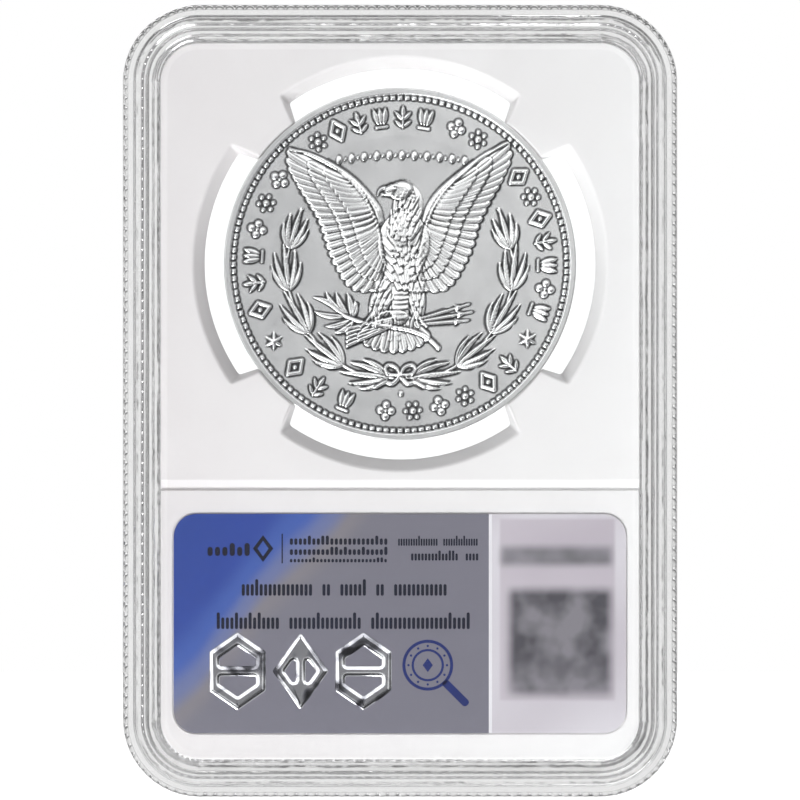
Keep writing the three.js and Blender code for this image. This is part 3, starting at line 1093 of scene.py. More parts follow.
class Relief:
    """A struck design, kept as heights above the coin's field at scattered points."""

    # Name of the painted shading attribute: painted shade in hollows, painted highlight on crests.
    SHADING_MASK = "painted_shading"
    EDGE = 0.13

    def __init__(self, across: Array, up: Array) -> None:
        """Starts flat, at points in millimetres from the coin's centre."""
        self.across = across
        self.up = up
        self.height = np.zeros_like(across)
        self.ground = self.height.copy()

    def settle(self) -> None:
        """Makes what has been raised so far the ground that the next shapes stand on."""
        self.ground = self.height.copy()

    def _near(self, points: Array, reach: float) -> Array:
        """The indices of the points near a line."""
        low, high = points.min(axis=0) - reach, points.max(axis=0) + reach
        return np.nonzero((self.across > low[0]) & (self.across < high[0])
                          & (self.up > low[1]) & (self.up < high[1]))[0]

    def _along(self, chosen: Array, line: Array) -> tuple[Array, Array]:
        """Measures points against a line.

        Args:
            chosen: Indices of the points.
            line: The line's own points.

        Returns:
            Each point's share of the way along, and its distance to the left of the line.
        """
        lengths = np.linalg.norm(np.diff(line, axis=0), axis=1)
        travelled = np.concatenate([[0.0], np.cumsum(lengths)])
        best = np.full(len(chosen), np.inf)
        share, offset = np.zeros(len(chosen)), np.zeros(len(chosen))
        for start, end, before, length in zip(line[:-1], line[1:], travelled, lengths):
            direction = (end - start) / length
            dx, dy = self.across[chosen] - start[0], self.up[chosen] - start[1]
            along = np.clip(dx * direction[0] + dy * direction[1], 0, length)
            px, py = dx - along * direction[0], dy - along * direction[1]
            distance = np.hypot(px, py)
            closer = distance < best
            best[closer] = distance[closer]
            share[closer] = ((before + along) / travelled[-1])[closer]
            side = np.where(direction[0] * dy - direction[1] * dx >= 0, 1.0, -1.0)
            offset[closer] = (distance * side)[closer]
        return share, offset

    def _raise(self, chosen: Array, rise: Array) -> None:
        """Lifts chosen points to the ground plus a rise, where that is higher."""
        self.height[chosen] = np.maximum(self.height[chosen], self.ground[chosen] + rise)

    def stroke(self, line: Sequence[Pair], radius: float, rise: float,
               taper: float = 1.0, smooth: bool = False) -> None:
        """Raises a round bar along a line.

        Args:
            line: Points the bar follows.
            radius: Its radius at the start.
            rise: Its height.
            taper: Its radius at the end, as a share of the start's.
            smooth: Whether the line is bent into a smooth curve first.
        """
        points = self.curve(line) if smooth else np.asarray(line, float)
        chosen = self._near(points, radius * 1.2)
        share, offset = self._along(chosen, points)
        width = radius * (1 + (taper - 1) * share)
        level = np.clip(1 - (np.abs(offset) / width) ** 2, 0, 1)
        self._raise(chosen, rise * np.sqrt(level) * (0.6 + 0.4 * level))

    def blade(self, start: Sequence[float], end: Sequence[float], width: float, rise: float,
              bend: float = 0.0, shape: Blade = Blade.FEATHER, tilt: float = 0.0,
              vein: float = 0.0, swell: float = 0.6) -> None:
        """Raises a feather or a leaf.

        Args:
            start: Where it grows from.
            end: Its tip.
            width: Half its greatest width.
            rise: Its height.
            bend: How far its middle bows to the left, as a share of its length.
            shape: Its outline.
            tilt: How much higher its left edge is than its right.
            vein: Depth of the groove along its middle.
            swell: How much it rises from its root to its tip.
        """
        start, end = np.asarray(start, float), np.asarray(end, float)
        chord = end - start
        left = np.array([-chord[1], chord[0]])
        middle = (start + end) / 2 + left * bend
        t = np.linspace(0, 1, 12)[:, None]
        pull = 2 * middle - (start + end) / 2
        line = (1 - t) ** 2 * start + 2 * t * (1 - t) * pull + t**2 * end
        chosen = self._near(line, width * 1.1)
        share, offset = self._along(chosen, line)
        if shape is Blade.FEATHER:
            root = np.clip(share / 0.12, 0, 1) ** 0.5 * 0.3 + 0.7
            tip = np.sqrt(np.clip(1 - (np.clip(share - 0.86, 0, 1) / 0.14) ** 2, 0, 1))
            half = width * root * tip
        else:
            half = width * np.sin(np.pi * np.clip(share, 0.001, 0.999) ** 0.85) ** 0.65
        gap = half - np.abs(offset)
        inside = np.clip(gap / self.EDGE, 0, 1)
        inside = inside * inside * (3 - 2 * inside)
        lateral = offset / np.maximum(half, 1e-3)
        crown = 1 - 0.45 * lateral**2 + tilt * lateral
        groove = vein * np.exp(-(offset / 0.09) ** 2)
        lengthwise = 1 - swell + swell * share
        self._raise(chosen, (rise * crown * lengthwise - groove) * inside)

    def dome(self, centre: Sequence[float], radii: Sequence[float], rise: float,
             turn: float = 0.0, power: float = 0.5) -> None:
        """Raises a rounded oval.

        Args:
            centre: Its middle.
            radii: Its half lengths.
            rise: Its height.
            turn: How far it is turned, in degrees.
            power: Lower is flatter on top.
        """
        cos, sin = math.cos(math.radians(turn)), math.sin(math.radians(turn))
        chosen = self._near(np.array([centre]), max(radii))
        dx, dy = self.across[chosen] - centre[0], self.up[chosen] - centre[1]
        a, b = (dx * cos + dy * sin) / radii[0], (dy * cos - dx * sin) / radii[1]
        self._raise(chosen, rise * np.clip(1 - a * a - b * b, 0, 1) ** power)

    def polygon(self, corners: Array, rise: float, edge: float) -> None:
        """Raises a filled star-shaped outline with sloping sides about its middle."""
        middle = corners.mean(axis=0)
        chosen = self._near(corners, 0.05)
        depth = np.full(len(chosen), -np.inf)
        for a, b in zip(corners, np.roll(corners, -1, axis=0)):
            wedge = np.array([a - middle, b - middle]).T
            coords = np.linalg.solve(wedge, np.stack([self.across[chosen] - middle[0],
                                                      self.up[chosen] - middle[1]]))
            inside = (coords >= -1e-6).all(axis=0)
            share = 1 - coords.sum(axis=0)
            height = abs(np.cross(a - middle, b - middle)) / np.linalg.norm(b - a)
            depth[inside] = (share * height)[inside]
        self._raise(chosen, rise * np.clip(depth / edge, 0, 1))

    @staticmethod
    def curve(points: Sequence[Pair], steps: int = 8) -> Array:
        """Bends a line of points into a smooth curve through them."""
        line = np.asarray(points, float)
        padded = np.concatenate([[2 * line[0] - line[1]], line, [2 * line[-1] - line[-2]]])
        t = np.linspace(0, 1, steps, endpoint=False)[:, None]
        out = []
        for a, b, c, d in zip(padded[:-3], padded[1:-2], padded[2:-1], padded[3:]):
            out.append(0.5 * (2 * b + (c - a) * t + (2 * a - 5 * b + 4 * c - d) * t**2
                              + (3 * b - a - 3 * c + d) * t**3))
        return np.concatenate([*out, line[-1:]])


def along_curve(curve: Array, shares: Array) -> Array:
    """Points at the given shares of a curve's length."""
    lengths = np.concatenate([[0.0], np.cumsum(np.linalg.norm(np.diff(curve, axis=0), axis=1))])
    lengths /= lengths[-1]
    return np.column_stack([np.interp(shares, lengths, curve[:, k]) for k in (0, 1)])


@dataclass
class Wing:
    """A raised wing with rows of overlapping feathers."""

    leading: Sequence[Pair]
    roots: Sequence[Pair]
    tips: Sequence[Pair]
    tilt: float
    feathers: int = 21

    def strike(self, relief: Relief) -> None:
        """Raises the wing on the relief."""
        roots, tips = Relief.curve(self.roots), Relief.curve(self.tips)
        for reach, count, rise, lean in ((1.0, self.feathers, 0.15, 0.0),
                                         (0.66, self.feathers - 2, 0.075, 0.015),
                                         (0.4, self.feathers - 4, 0.065, 0.03)):
            relief.settle()
            shares = np.linspace(0.0, 1.0, count)
            starts = along_curve(roots, shares)
            ends = starts + (along_curve(tips, np.clip(shares + lean, 0, 1)) - starts) * reach
            spacing = np.linalg.norm(np.gradient(ends, axis=0), axis=1)
            for start, end, gap in zip(starts, ends, spacing):
                relief.blade(start, end, max(0.28, gap * 0.66), rise, bend=0.03 * self.tilt,
                             tilt=0.34 * self.tilt, vein=0.02, swell=0.35)
        relief.settle()
        arm = Relief.curve(self.leading)
        relief.stroke(arm, 0.5, 0.12, taper=0.35)
        relief.settle()
        for share in np.linspace(0.03, 0.62, 15):
            here, ahead = along_curve(arm, np.array([share, share + 0.07]))
            relief.blade(here, ahead, 0.3, 0.05, tilt=0.2 * self.tilt, swell=0.9)


@dataclass
class Wreath:
    """A half wreath: a stem with tufts of long leaves along it."""

    stem: Sequence[Pair]
    tufts: Sequence[float] = (0.02, 0.225, 0.43, 0.635, 0.82)
    length: float = 5.1

    def strike(self, relief: Relief) -> None:
        """Raises the half wreath on the relief."""
        stem = Relief.curve(self.stem, 12)
        relief.settle()
        relief.stroke(stem, 0.13, 0.11, taper=0.6)
        for tuft in self.tufts:
            size = self.length if tuft < 0.8 else self.length * 0.85
            here, ahead = along_curve(stem, np.array([tuft, tuft + 0.09]))
            forward = (ahead - here) / np.linalg.norm(ahead - here)
            for degrees, stretch, width in ((27, 0.68, 0.3), (-27, 0.68, 0.3), (14, 0.9, 0.31),
                                            (-14, 0.9, 0.31), (0, 1.08, 0.32)):
                turn = math.radians(degrees)
                cos, sin = math.cos(turn), math.sin(turn)
                direction = np.array([forward[0] * cos - forward[1] * sin,
                                      forward[0] * sin + forward[1] * cos])
                relief.blade(here, here + direction * size * stretch, width, 0.2,
                             bend=0.0038 * degrees, shape=Blade.LEAF, vein=0.045,
                             tilt=0.16 * np.sign(degrees), swell=0.3)


@dataclass
class LegendRing:
    """Raised ornaments round the coin's rim, in place of any lettering."""

    radius: float = 15.9
    height: float = 2.2
    rise: float = 0.17
    line: float = 0.23

    def marks(self) -> list[Callable[[Relief, Place], None]]:
        """The ornaments, each drawn in its own small frame of across and outwards."""
        tall, line, rise = self.height / 2, self.line, self.rise

        def lozenge(relief: Relief, at: Place) -> None:
            """A lozenge with a dot in it."""
            corners = [at(0, tall), at(0.7, 0), at(0, -tall), at(-0.7, 0), at(0, tall)]
            relief.stroke(corners, line, rise)
            relief.dome(at(0, 0), (0.24, 0.24), rise)

        def quatrefoil(relief: Relief, at: Place) -> None:
            """Four round petals about a dot."""
            for x, y in ((0.0, 0.62), (0.0, -0.62), (0.5, 0.0), (-0.5, 0.0)):
                relief.dome(at(x, y), (0.42, 0.42), rise * 1.1)
            relief.dome(at(0, 0), (0.2, 0.2), rise * 1.5)

        def sprig(relief: Relief, at: Place) -> None:
            """A sprig with five leaves."""
            relief.stroke([at(0, -tall), at(0, 0.3)], line * 0.6, rise)
            relief.blade(at(0, -0.1), at(0, tall + 0.15), 0.3, rise * 1.3, shape=Blade.LEAF)
            for x in (0.8, -0.8):
                relief.blade(at(0, -0.35), at(x, 0.6), 0.26, rise * 1.3, shape=Blade.LEAF)
                relief.blade(at(0, -tall), at(x, -0.35), 0.24, rise * 1.3, shape=Blade.LEAF)

        def rosette(relief: Relief, at: Place) -> None:
            """A boss in a ring of six small ones."""
            relief.dome(at(0, 0), (0.36, 0.36), rise * 1.4)
            for k in range(6):
                turn = k * math.pi / 3
                relief.dome(at(0.66 * math.cos(turn), 0.8 * math.sin(turn)), (0.24, 0.24), rise)

        def tulip(relief: Relief, at: Place) -> None:
            """A cup of three leaves over a bar."""
            for x in (-0.6, 0.6, 0.0):
                relief.blade(at(x * 0.4, -0.7), at(x, tall), 0.36, rise * 1.3, shape=Blade.LEAF)
            relief.stroke([at(-0.5, -tall + 0.12), at(0.5, -tall + 0.12)], line * 0.7, rise)

        return [lozenge, quatrefoil, sprig, rosette, tulip]

    def strike(self, relief: Relief, arcs: Sequence[tuple[float, float, int]],
               outward: bool = True) -> None:
        """Raises ornaments along arcs.

        Args:
            relief: The relief to raise them on.
            arcs: For each run, the first and last angle in degrees, and how many ornaments.
            outward: Whether their tops point away from the coin's centre.
        """
        relief.settle()
        drawings = self.marks()
        place = 0
        for start, end, count in arcs:
            for degrees in np.linspace(start, end, count):
                turn = math.radians(degrees)
                sign = 1.0 if outward else -1.0

                def at(x: float, y: float, turn: float = turn,
                       sign: float = sign) -> Pair:
                    """Moves a point of an ornament to its place on the ring."""
                    radial, across = self.radius + y * sign, x * sign * 1.15
                    return (radial * math.cos(turn) + across * math.sin(turn),
                            radial * math.sin(turn) - across * math.cos(turn))

                drawings[(place * 2 + place // 5) % len(drawings)](relief, at)
                place += 1


class RaisedWingDesign:
    """The back of the coin: an eagle with raised wings inside a wreath."""

    def strike(self, relief: Relief) -> None:
        """Raises the whole design."""
        self._wreath(relief)
        self._tail(relief)
        self._branch(relief)
        self._wings(relief)
        self._body(relief)
        self._head(relief)
        self._ring(relief)

    def _wings(self, relief: Relief) -> None:
        """Raises both wings."""
        left = Wing(
            leading=[(-2.2, 4.6), (-2.5, 5.9), (-3.6, 7.5), (-5.2, 9.2), (-7.2, 10.6),
                     (-9.6, 11.8), (-11.9, 12.45)],
            roots=[(-5.6, 9.0), (-4.3, 7.6), (-3.4, 6.0), (-2.7, 4.2), (-2.3, 2.2), (-2.0, 0.4)],
            tips=[(-12.2, 12.3), (-12.3, 11.0), (-11.7, 9.7), (-10.9, 8.3), (-10.0, 6.8),
                  (-9.1, 5.2), (-8.5, 3.6), (-8.1, 2.2), (-7.6, 0.8), (-6.9, -0.6),
                  (-5.9, -2.2), (-4.6, -3.0), (-3.2, -2.9)],
            tilt=1.0)
        right = Wing(
            leading=[(2.9, 4.8), (3.3, 6.2), (4.2, 7.6), (5.5, 8.9), (7.2, 10.3), (9.2, 11.8),
                     (11.6, 13.1)],
            roots=[(6.0, 8.8), (4.8, 7.5), (3.8, 6.0), (3.0, 4.2), (2.6, 2.2), (2.2, 0.4)],
            tips=[(11.8, 13.1), (12.1, 11.9), (11.6, 10.5), (11.0, 9.1), (10.1, 7.5),
                  (9.3, 5.8), (8.6, 4.2), (8.2, 2.6), (7.7, 1.1), (7.0, -0.3), (6.0, -2.0),
                  (4.7, -3.0), (3.1, -2.9)],
            tilt=-1.0)
        for wing in (left, right):
            wing.strike(relief)

    def _plumage(self, relief: Relief, centre: Pair, radii: Pair,
                 pitch: float, lean: float, converge: float, rise: float) -> None:
        """Covers an oval with uneven rows of small overlapping feathers.

        Args:
            relief: The relief to raise them on.
            centre: The oval's middle.
            radii: The oval's half width and half height.
            pitch: From one row to the next.
            lean: How far all the feathers point to the right.
            converge: How far each feather points towards the oval's middle line.
            rise: Their height.
        """
        relief.settle()
        draw = np.random.default_rng(int(abs(centre[0]) * 100 + abs(centre[1]) * 10) + 5)
        for row in range(int(2 * radii[1] / pitch) + 1):
            up = centre[1] + radii[1] - row * pitch
            half = radii[0] * math.sqrt(max(0.0, 1 - ((up - centre[1]) / radii[1]) ** 2))
            count = max(1, round(2 * half / pitch)) + row % 2
            for i in range(count):
                side = (i - (count - 1) / 2) * pitch
                start = np.array([centre[0] + side, up]) + draw.uniform(-0.16, 0.16, 2) * pitch
                heading = np.array([lean - converge * side / radii[0], -1.0])
                length = pitch * draw.uniform(1.7, 2.3)
                relief.blade(start, start + heading / np.hypot(*heading) * length,
                             pitch * draw.uniform(0.4, 0.52), rise * draw.uniform(0.8, 1.2),
                             bend=draw.uniform(-0.08, 0.08), swell=0.85, vein=0.02,
                             tilt=0.3 * np.sign(side or 1.0))

    def _body(self, relief: Relief) -> None:
        """Raises the breast, the thighs, the tail's root and the feet."""
        relief.settle()
        for centre, radii, turn in (((0.4, 2.2), (2.75, 3.5), 0), ((0.3, -1.0), (2.1, 3.2), 0),
                                    ((-1.9, -3.7), (1.2, 2.5), -24), ((1.75, -3.6), (1.0, 2.4), 6),
                                    ((0.0, -4.2), (1.2, 2.4), 0)):
            relief.dome(centre, radii, 0.16, turn=turn, power=0.4)
        self._plumage(relief, (0.35, 1.7), (2.5, 3.5), 0.8, 0.15, 0.85, 0.15)
        self._plumage(relief, (-1.75, -3.2), (0.95, 2.0), 0.66, -0.45, 0.2, 0.12)
        self._plumage(relief, (1.75, -3.2), (0.8, 1.9), 0.66, 0.1, 0.2, 0.12)
        relief.settle()
        for up in np.arange(-2.4, -5.4, -0.52):
            relief.blade((0.05, up), (0.05, up - 0.95), 0.95, 0.12, swell=0.95)
        for x, lean in ((-2.9, -0.5), (1.7, 0.35)):
            for spread in (-0.55, 0.0, 0.55):
                relief.stroke([(x, -5.3), (x + spread + lean * 0.4, -6.2),
                               (x + spread * 1.5 + lean, -6.75)], 0.24, 0.16, taper=0.6,
                              smooth=True)

    def _head(self, relief: Relief) -> None:
        """Raises the neck, head, eye and beak, turned to the left."""
        relief.settle()
        neck = [(0.35, 3.6), (0.95, 5.3), (1.15, 6.9), (0.45, 8.0)]
        relief.stroke(neck, 1.75, 0.1, taper=0.62, smooth=True)
        relief.dome((0.1, 7.95), (1.35, 1.0), 0.24, turn=8, power=0.45)
        relief.dome((-0.75, 7.95), (0.95, 0.68), 0.24, turn=10, power=0.45)
        self._plumage(relief, (0.75, 5.5), (1.45, 2.5), 0.72, -0.35, 0.25, 0.14)
        relief.settle()
        relief.stroke([(-0.9, 8.1), (-1.75, 8.2), (-2.25, 7.9), (-2.4, 7.45)], 0.36, 0.12,
                      taper=0.25, smooth=True)
        relief.stroke([(-0.9, 7.6), (-1.5, 7.5), (-1.9, 7.45)], 0.2, 0.08, taper=0.5, smooth=True)
        relief.stroke([(-1.25, 8.5), (-0.55, 8.55), (0.1, 8.35)], 0.15, 0.07, smooth=True)
        for height, back in ((8.5, 1.2), (8.15, 1.5), (7.75, 1.6), (7.35, 1.6)):
            relief.blade((0.1, height), (back, height - 0.55), 0.26, 0.06, bend=0.06, swell=0.7)
        relief.settle()
        relief.dome((-0.55, 8.12), (0.17, 0.15), 0.08)

    def _tail(self, relief: Relief) -> None:
        """Raises the tail's fan."""
        relief.settle()
        for degrees in np.linspace(-48, 48, 9)[[0, 8, 1, 7, 2, 6, 3, 5, 4]]:
            turn = math.radians(degrees)
            root = np.array([-0.7 + 0.9 * math.sin(turn), -5.4])
            tip = root + np.array([math.sin(turn) * 4.3, -math.cos(turn) * 4.2])
            relief.blade(root, tip, 0.62, 0.17, vein=0.03, tilt=0.25 * np.sign(degrees or 1.0),
                         swell=0.3)
        self._plumage(relief, (-0.6, -6.2), (1.9, 0.9), 0.6, 0.0, -0.6, 0.05)

    def _branch(self, relief: Relief) -> None:
        """Raises the leafy branch on the left and the sheaf of arrows on the right."""
        relief.settle()
        for offset in (-0.9, -0.45, 0.0, 0.45, 0.9):
            relief.stroke([(-5.7, -7.9 + offset), (-1.0, -6.3 + offset * 0.45)], 0.2, 0.17)
        for tip, gap in (((7.4, -4.35), 0.0), ((7.7, -5.2), 0.3), ((7.3, -6.1), 0.6)):
            start = np.array([2.2, -5.9 - gap])
            relief.stroke([tuple(start), tip], 0.16, 0.15)
            back = start + (np.array(tip) - start) * 0.72
            side = np.array([-(tip[1] - start[1]), tip[0] - start[0]]) * 0.075
            head = np.array([back + side, np.asarray(tip), back - side])
            relief.polygon(head, 0.2, 0.22)
        relief.settle()
        stem = [(-6.2, -5.5), (-4.0, -6.3), (-1.4, -6.75), (1.2, -7.2), (3.0, -8.0), (4.2, -9.1)]
        relief.stroke(stem, 0.2, 0.16, taper=1.2, smooth=True)
        leaves = (((-6.0, -5.6), (-9.4, -3.6), -0.1), ((-5.9, -5.6), (-9.3, -5.1), 0.08),
                  ((-5.9, -5.4), (-8.0, -3.0), 0.1), ((-5.6, -5.5), (-6.9, -3.0), 0.08),
                  ((-5.3, -5.6), (-5.7, -3.1), -0.06), ((-5.1, -5.7), (-4.9, -3.9), -0.1),
                  ((-5.4, -6.0), (-8.1, -6.7), 0.1), ((-5.0, -6.1), (-7.1, -7.4), 0.12))
        for start, end, bend in leaves:
            relief.blade(start, end, 0.36, 0.17, bend=bend, shape=Blade.LEAF, vein=0.04, swell=0.2)

    def _wreath(self, relief: Relief) -> None:
        """Raises both half wreaths and the bow that ties them."""
        for sign in (-1.0, 1.0):
            stem = [(0.7 * sign, -12.3), (3.4 * sign, -12.0), (6.2 * sign, -10.9),
                    (9.9 * sign, -7.4), (12.0 * sign, -2.9), (12.2 * sign, 0.0),
                    (11.7 * sign, 2.6), (10.6 * sign, 5.9)]
            Wreath(stem).strike(relief)
        relief.settle()
        for sign in (-1.0, 1.0):
            loop = [(0.0, -12.0), (0.45 * sign, -11.2), (1.2 * sign, -10.9), (1.6 * sign, -11.3),
                    (1.2 * sign, -11.9), (0.0, -12.0)]
            relief.stroke(loop, 0.22, 0.22, smooth=True)
            tail = [(0.0, -12.1), (0.8 * sign, -12.9), (1.6 * sign, -12.8), (2.6 * sign, -13.3)]
            relief.stroke(tail, 0.28, 0.2, taper=0.8, smooth=True)
        relief.dome((0.0, -12.05), (0.45, 0.4), 0.28)

    def _ring(self, relief: Relief) -> None:
        """Raises the ring of ornaments, the swag above the head and the two stars."""
        ring = LegendRing()
        ring.strike(relief, [(198.1, 144.9, 6), (123.9, 80.1, 6), (67.5, 58.0, 2),
                             (36.4, -18.9, 7)])
        ring.strike(relief, [(224.4, 248.1, 3), (264.4, 317.4, 6)], outward=False)
        for degrees in (211.5, -30.5):
            turn = math.radians(degrees)
            centre = np.array([math.cos(turn), math.sin(turn)]) * 16.0
            points = [centre + circle(r, 1)[0] @ np.array([[math.cos(a), math.sin(a)],
                                                           [-math.sin(a), math.cos(a)]])
                      for a, r in zip(np.arange(12) * math.pi / 6 + math.pi / 2,
                                      [1.1, 0.6] * 6)]
            relief.polygon(np.array(points), 0.26, 0.45)
        relief.settle()
        for place, x in enumerate(np.linspace(-6.6, 7.0, 21)):
            big = place % 2 == 0
            up = 11.75 - 0.012 * x * x
            size = 0.34 if big else 0.15
            relief.dome((x, up), (size, size * (1.35 if big else 1.0)), 0.1, power=0.6)
        relief.dome((0.1, -14.0), (0.25, 0.3), 0.09)


class StarburstDesign:
    """The front of the coin: a radiant star inside a wreath, with the same border."""

    def strike(self, relief: Relief) -> None:
        """Raises the whole design."""
        relief.settle()
        for k in range(40):
            turn = 2 * math.pi * k / 40
            inner, outer = 4.6, 9.6 if k % 2 == 0 else 8.0
            ray = [(inner * math.cos(turn), inner * math.sin(turn)),
                   (outer * math.cos(turn), outer * math.sin(turn))]
            relief.stroke(ray, 0.3, 0.12, taper=0.35)
        relief.settle()
        tips = [circle(1.0, 10)[k] * (6.2 if k % 2 == 0 else 2.5) for k in range(10)]
        turn = np.array([[0.0, 1.0], [-1.0, 0.0]])
        relief.polygon(np.array(tips) @ turn, 0.33, 2.0)
        for sign in (-1.0, 1.0):
            stem = [(0.3 * sign, -12.2), (3.4 * sign, -12.0), (6.6 * sign, -10.5),
                    (9.8 * sign, -7.5), (11.9 * sign, -3.0), (12.2 * sign, 1.2),
                    (11.0 * sign, 5.4), (8.4 * sign, 9.0), (4.6 * sign, 11.5)]
            Wreath(stem, tufts=(0.0, 0.19, 0.38, 0.57, 0.76, 0.93)).strike(relief)
        relief.settle()
        relief.dome((0.0, -12.1), (0.6, 0.5), 0.26)
        ring = LegendRing()
        ring.strike(relief, [(198, 100, 11), (80, -18, 11)])
        ring.strike(relief, [(216, 324, 13)], outward=False)


@dataclass
class Coin:
    """The silver coin: two struck faces and a reeded edge."""

    block: Block
    field_drop: float = 0.36
    seam: float = 13.9
    border: float = 18.92
    rim_inner: float = 18.32
    bead_radius: float = 17.98
    beads: int = 148
    reeds: int = 189
    reed_half: float = 0.85
    reed_depth: float = 0.13
    mesh_steps: int = 290
    rings: int = 60
    edge_round: float = 0.13

    @property
    def radius(self) -> float:
        """The coin's radius."""
        return self.block.size[0] / 2

    @property
    def rim(self) -> float:
        """The height of the rims above the coin's middle plane."""
        return self.block.size[1] / 2

    def _disc(self, steps: int) -> tuple[Array, Array]:
        """Even points over the middle of a face, in a square of rows laid out as a disc."""
        line = np.linspace(-1, 1, steps + 1)
        a, b = np.meshgrid(line, line, indexing="ij")
        wide = np.abs(a) > np.abs(b)
        safe_a, safe_b = np.where(a == 0, 1, a), np.where(b == 0, 1, b)
        angle = np.where(wide, np.pi / 4 * b / safe_a, np.pi / 2 - np.pi / 4 * a / safe_b)
        reach = np.where(wide, a, b) * self.seam
        return reach * np.cos(angle), reach * np.sin(angle)

    def _ring(self, steps: int, rings: int) -> tuple[Array, Array]:
        """Points over the outer ring of a face, meeting the middle's points at the seam."""
        angle = (np.arange(4 * steps) / (4 * steps) * 2 + 0.25) * np.pi
        reach = np.linspace(self.seam, self.border, rings + 1)
        return (reach[None, :] * np.cos(angle)[:, None], reach[None, :] * np.sin(angle)[:, None])

    def _border(self, relief: Relief) -> None:
        """Raises the beads and the rim round a face, and dishes the field a little."""
        limit = self.field_drop - 0.03
        relief.height = limit * np.tanh(relief.height / limit)
        reach = np.hypot(relief.across, relief.up)
        angle = np.arctan2(relief.up, relief.across)
        wave = np.cos(angle * self.beads)
        across = (reach - self.bead_radius) / 0.24
        bead = np.sqrt(np.clip(1 - across**2 - np.clip(-wave, 0, 1) ** 2 * 2.2, 0, 1))
        relief.height = np.maximum(relief.height, 0.17 * bead)
        climb = np.clip((reach - self.rim_inner + 0.08) / 0.16, 0, 1)
        relief.height = np.maximum(relief.height, self.field_drop * climb * climb * (3 - 2 * climb))
        relief.height += 0.03 * np.clip(reach / self.seam, 0, 1) ** 4 * (1 - climb)

    def _shading_mask(self, relief: Relief, shape: tuple[int, int], wrap: bool) -> Array:
        """Finds hollows and crests, as values below and above one half, which the silver paints as
        shade and highlight.

        Args:
            relief: The finished relief.
            shape: Rows and columns of its points.
            wrap: Whether the last row joins the first.

        Returns:
            One value for each point.
        """
        height = relief.height.reshape(shape)
        blurred = height.copy()
        for _ in range(3):
            for axis in (0, 1):
                before, after = np.roll(blurred, 1, axis), np.roll(blurred, -1, axis)
                if axis == 1 or not wrap:
                    ends = [slice(None), slice(None)]
                    ends[axis] = 0
                    before[tuple(ends)] = blurred[tuple(ends)]
                    ends[axis] = -1
                    after[tuple(ends)] = blurred[tuple(ends)]
                blurred = (before + blurred + after) / 3
        return np.clip(0.5 + (height - blurred) / 0.05, 0, 1).ravel()

    def _face(self, side: Side, steps: int, rings: int,
              strike: Callable[[Relief], None]) -> list[Piece]:
        """Makes the middle and the outer ring of one struck face."""
        pieces = []
        sign = -1.0 if side is Side.BACK else 1.0
        for part, (across, up), wrap in (("centre", self._disc(steps), False),
                                         ("border", self._ring(steps, rings), True)):
            relief = Relief(across.ravel(), up.ravel())
            strike(relief)
            self._border(relief)
            shape = across.shape
            # Painted shading mask, carried to the silver's colour.
            mask = self._shading_mask(relief, shape, wrap)
            height = relief.height.reshape(shape)
            y = sign * (self.rim - self.field_drop + height)
            x = across * (1.0 if side is Side.BACK else -1.0)
            middle = self.block.centre
            surface = Surface()
            surface.grid(np.stack([x + middle[0], y + middle[1], up + middle[2]], axis=-1), wrap)
            piece = surface.finish(f"coin_{side.name.lower()}_{part}", sharp_degrees=180.0,
                                   weld=False, even=False)
            layer = piece.data.attributes.new(Relief.SHADING_MASK, "FLOAT", "POINT")
            layer.data.foreach_set("value", mask.astype(np.float32))
            self._face_outwards(piece, sign)
            pieces.append(piece)
        return pieces

    def _face_outwards(self, piece: Piece, sign: float) -> None:
        """Flips a face's mesh if it points into the coin."""
        count = len(piece.data.polygons)
        normals = np.zeros(count * 3)
        piece.data.polygons.foreach_get("normal", normals)
        if normals.reshape(-1, 3)[:, 1].sum() * sign < 0:
            piece.data.flip_normals()

    def _edge(self) -> Piece:
        """Makes the rounded rims' outer sides and the reeds between them."""
        samples = self.reeds * 6
        angle = np.arange(samples) / samples * 2 * np.pi
        turn = np.linspace(0, np.pi / 2, 5)
        crown = self.radius - self.edge_round
        rim_line = [(self.border, self.rim)] + [
            (crown + self.edge_round * math.sin(t), self.rim - self.edge_round * (1 - math.cos(t)))
            for t in turn]
        line = np.array([(r, -y) for r, y in rim_line]
                        + [(self.radius, self.reed_half * share) for share in (-1, 0, 1)]
                        + rim_line[::-1])
        cut = np.where(np.abs(line[:, 1]) <= self.reed_half, self.reed_depth, 0.0)
        notch = np.clip(np.cos(angle * self.reeds), 0, 1) ** 0.6
        reach = line[None, :, 0] - notch[:, None] * cut[None, :]
        middle = self.block.centre
        surface = Surface()
        surface.grid(np.stack([reach * np.cos(angle)[:, None] + middle[0],
                               np.broadcast_to(line[:, 1], reach.shape) + middle[1],
                               reach * np.sin(angle)[:, None] + middle[2]], axis=-1), wrap=True)
        piece = surface.finish("coin_edge", sharp_degrees=70.0, weld=False, even=False)
        turn_outwards(piece.data)
        return piece

    def build(self, silver: Finish, reeded: Finish) -> None:
        """Makes both faces and the edge."""
        faces = self._face(Side.BACK, self.mesh_steps, self.rings, RaisedWingDesign().strike)
        faces += self._face(Side.FRONT, self.mesh_steps * 2 // 3, self.rings * 2 // 3,
                            StarburstDesign().strike)
        seat(self._edge(), reeded, "silver_coin", "coin")
        for piece in faces:
            seat(piece, silver, "silver_coin", "coin")


# ---- Cards ----------------------------------------------------------------------------------


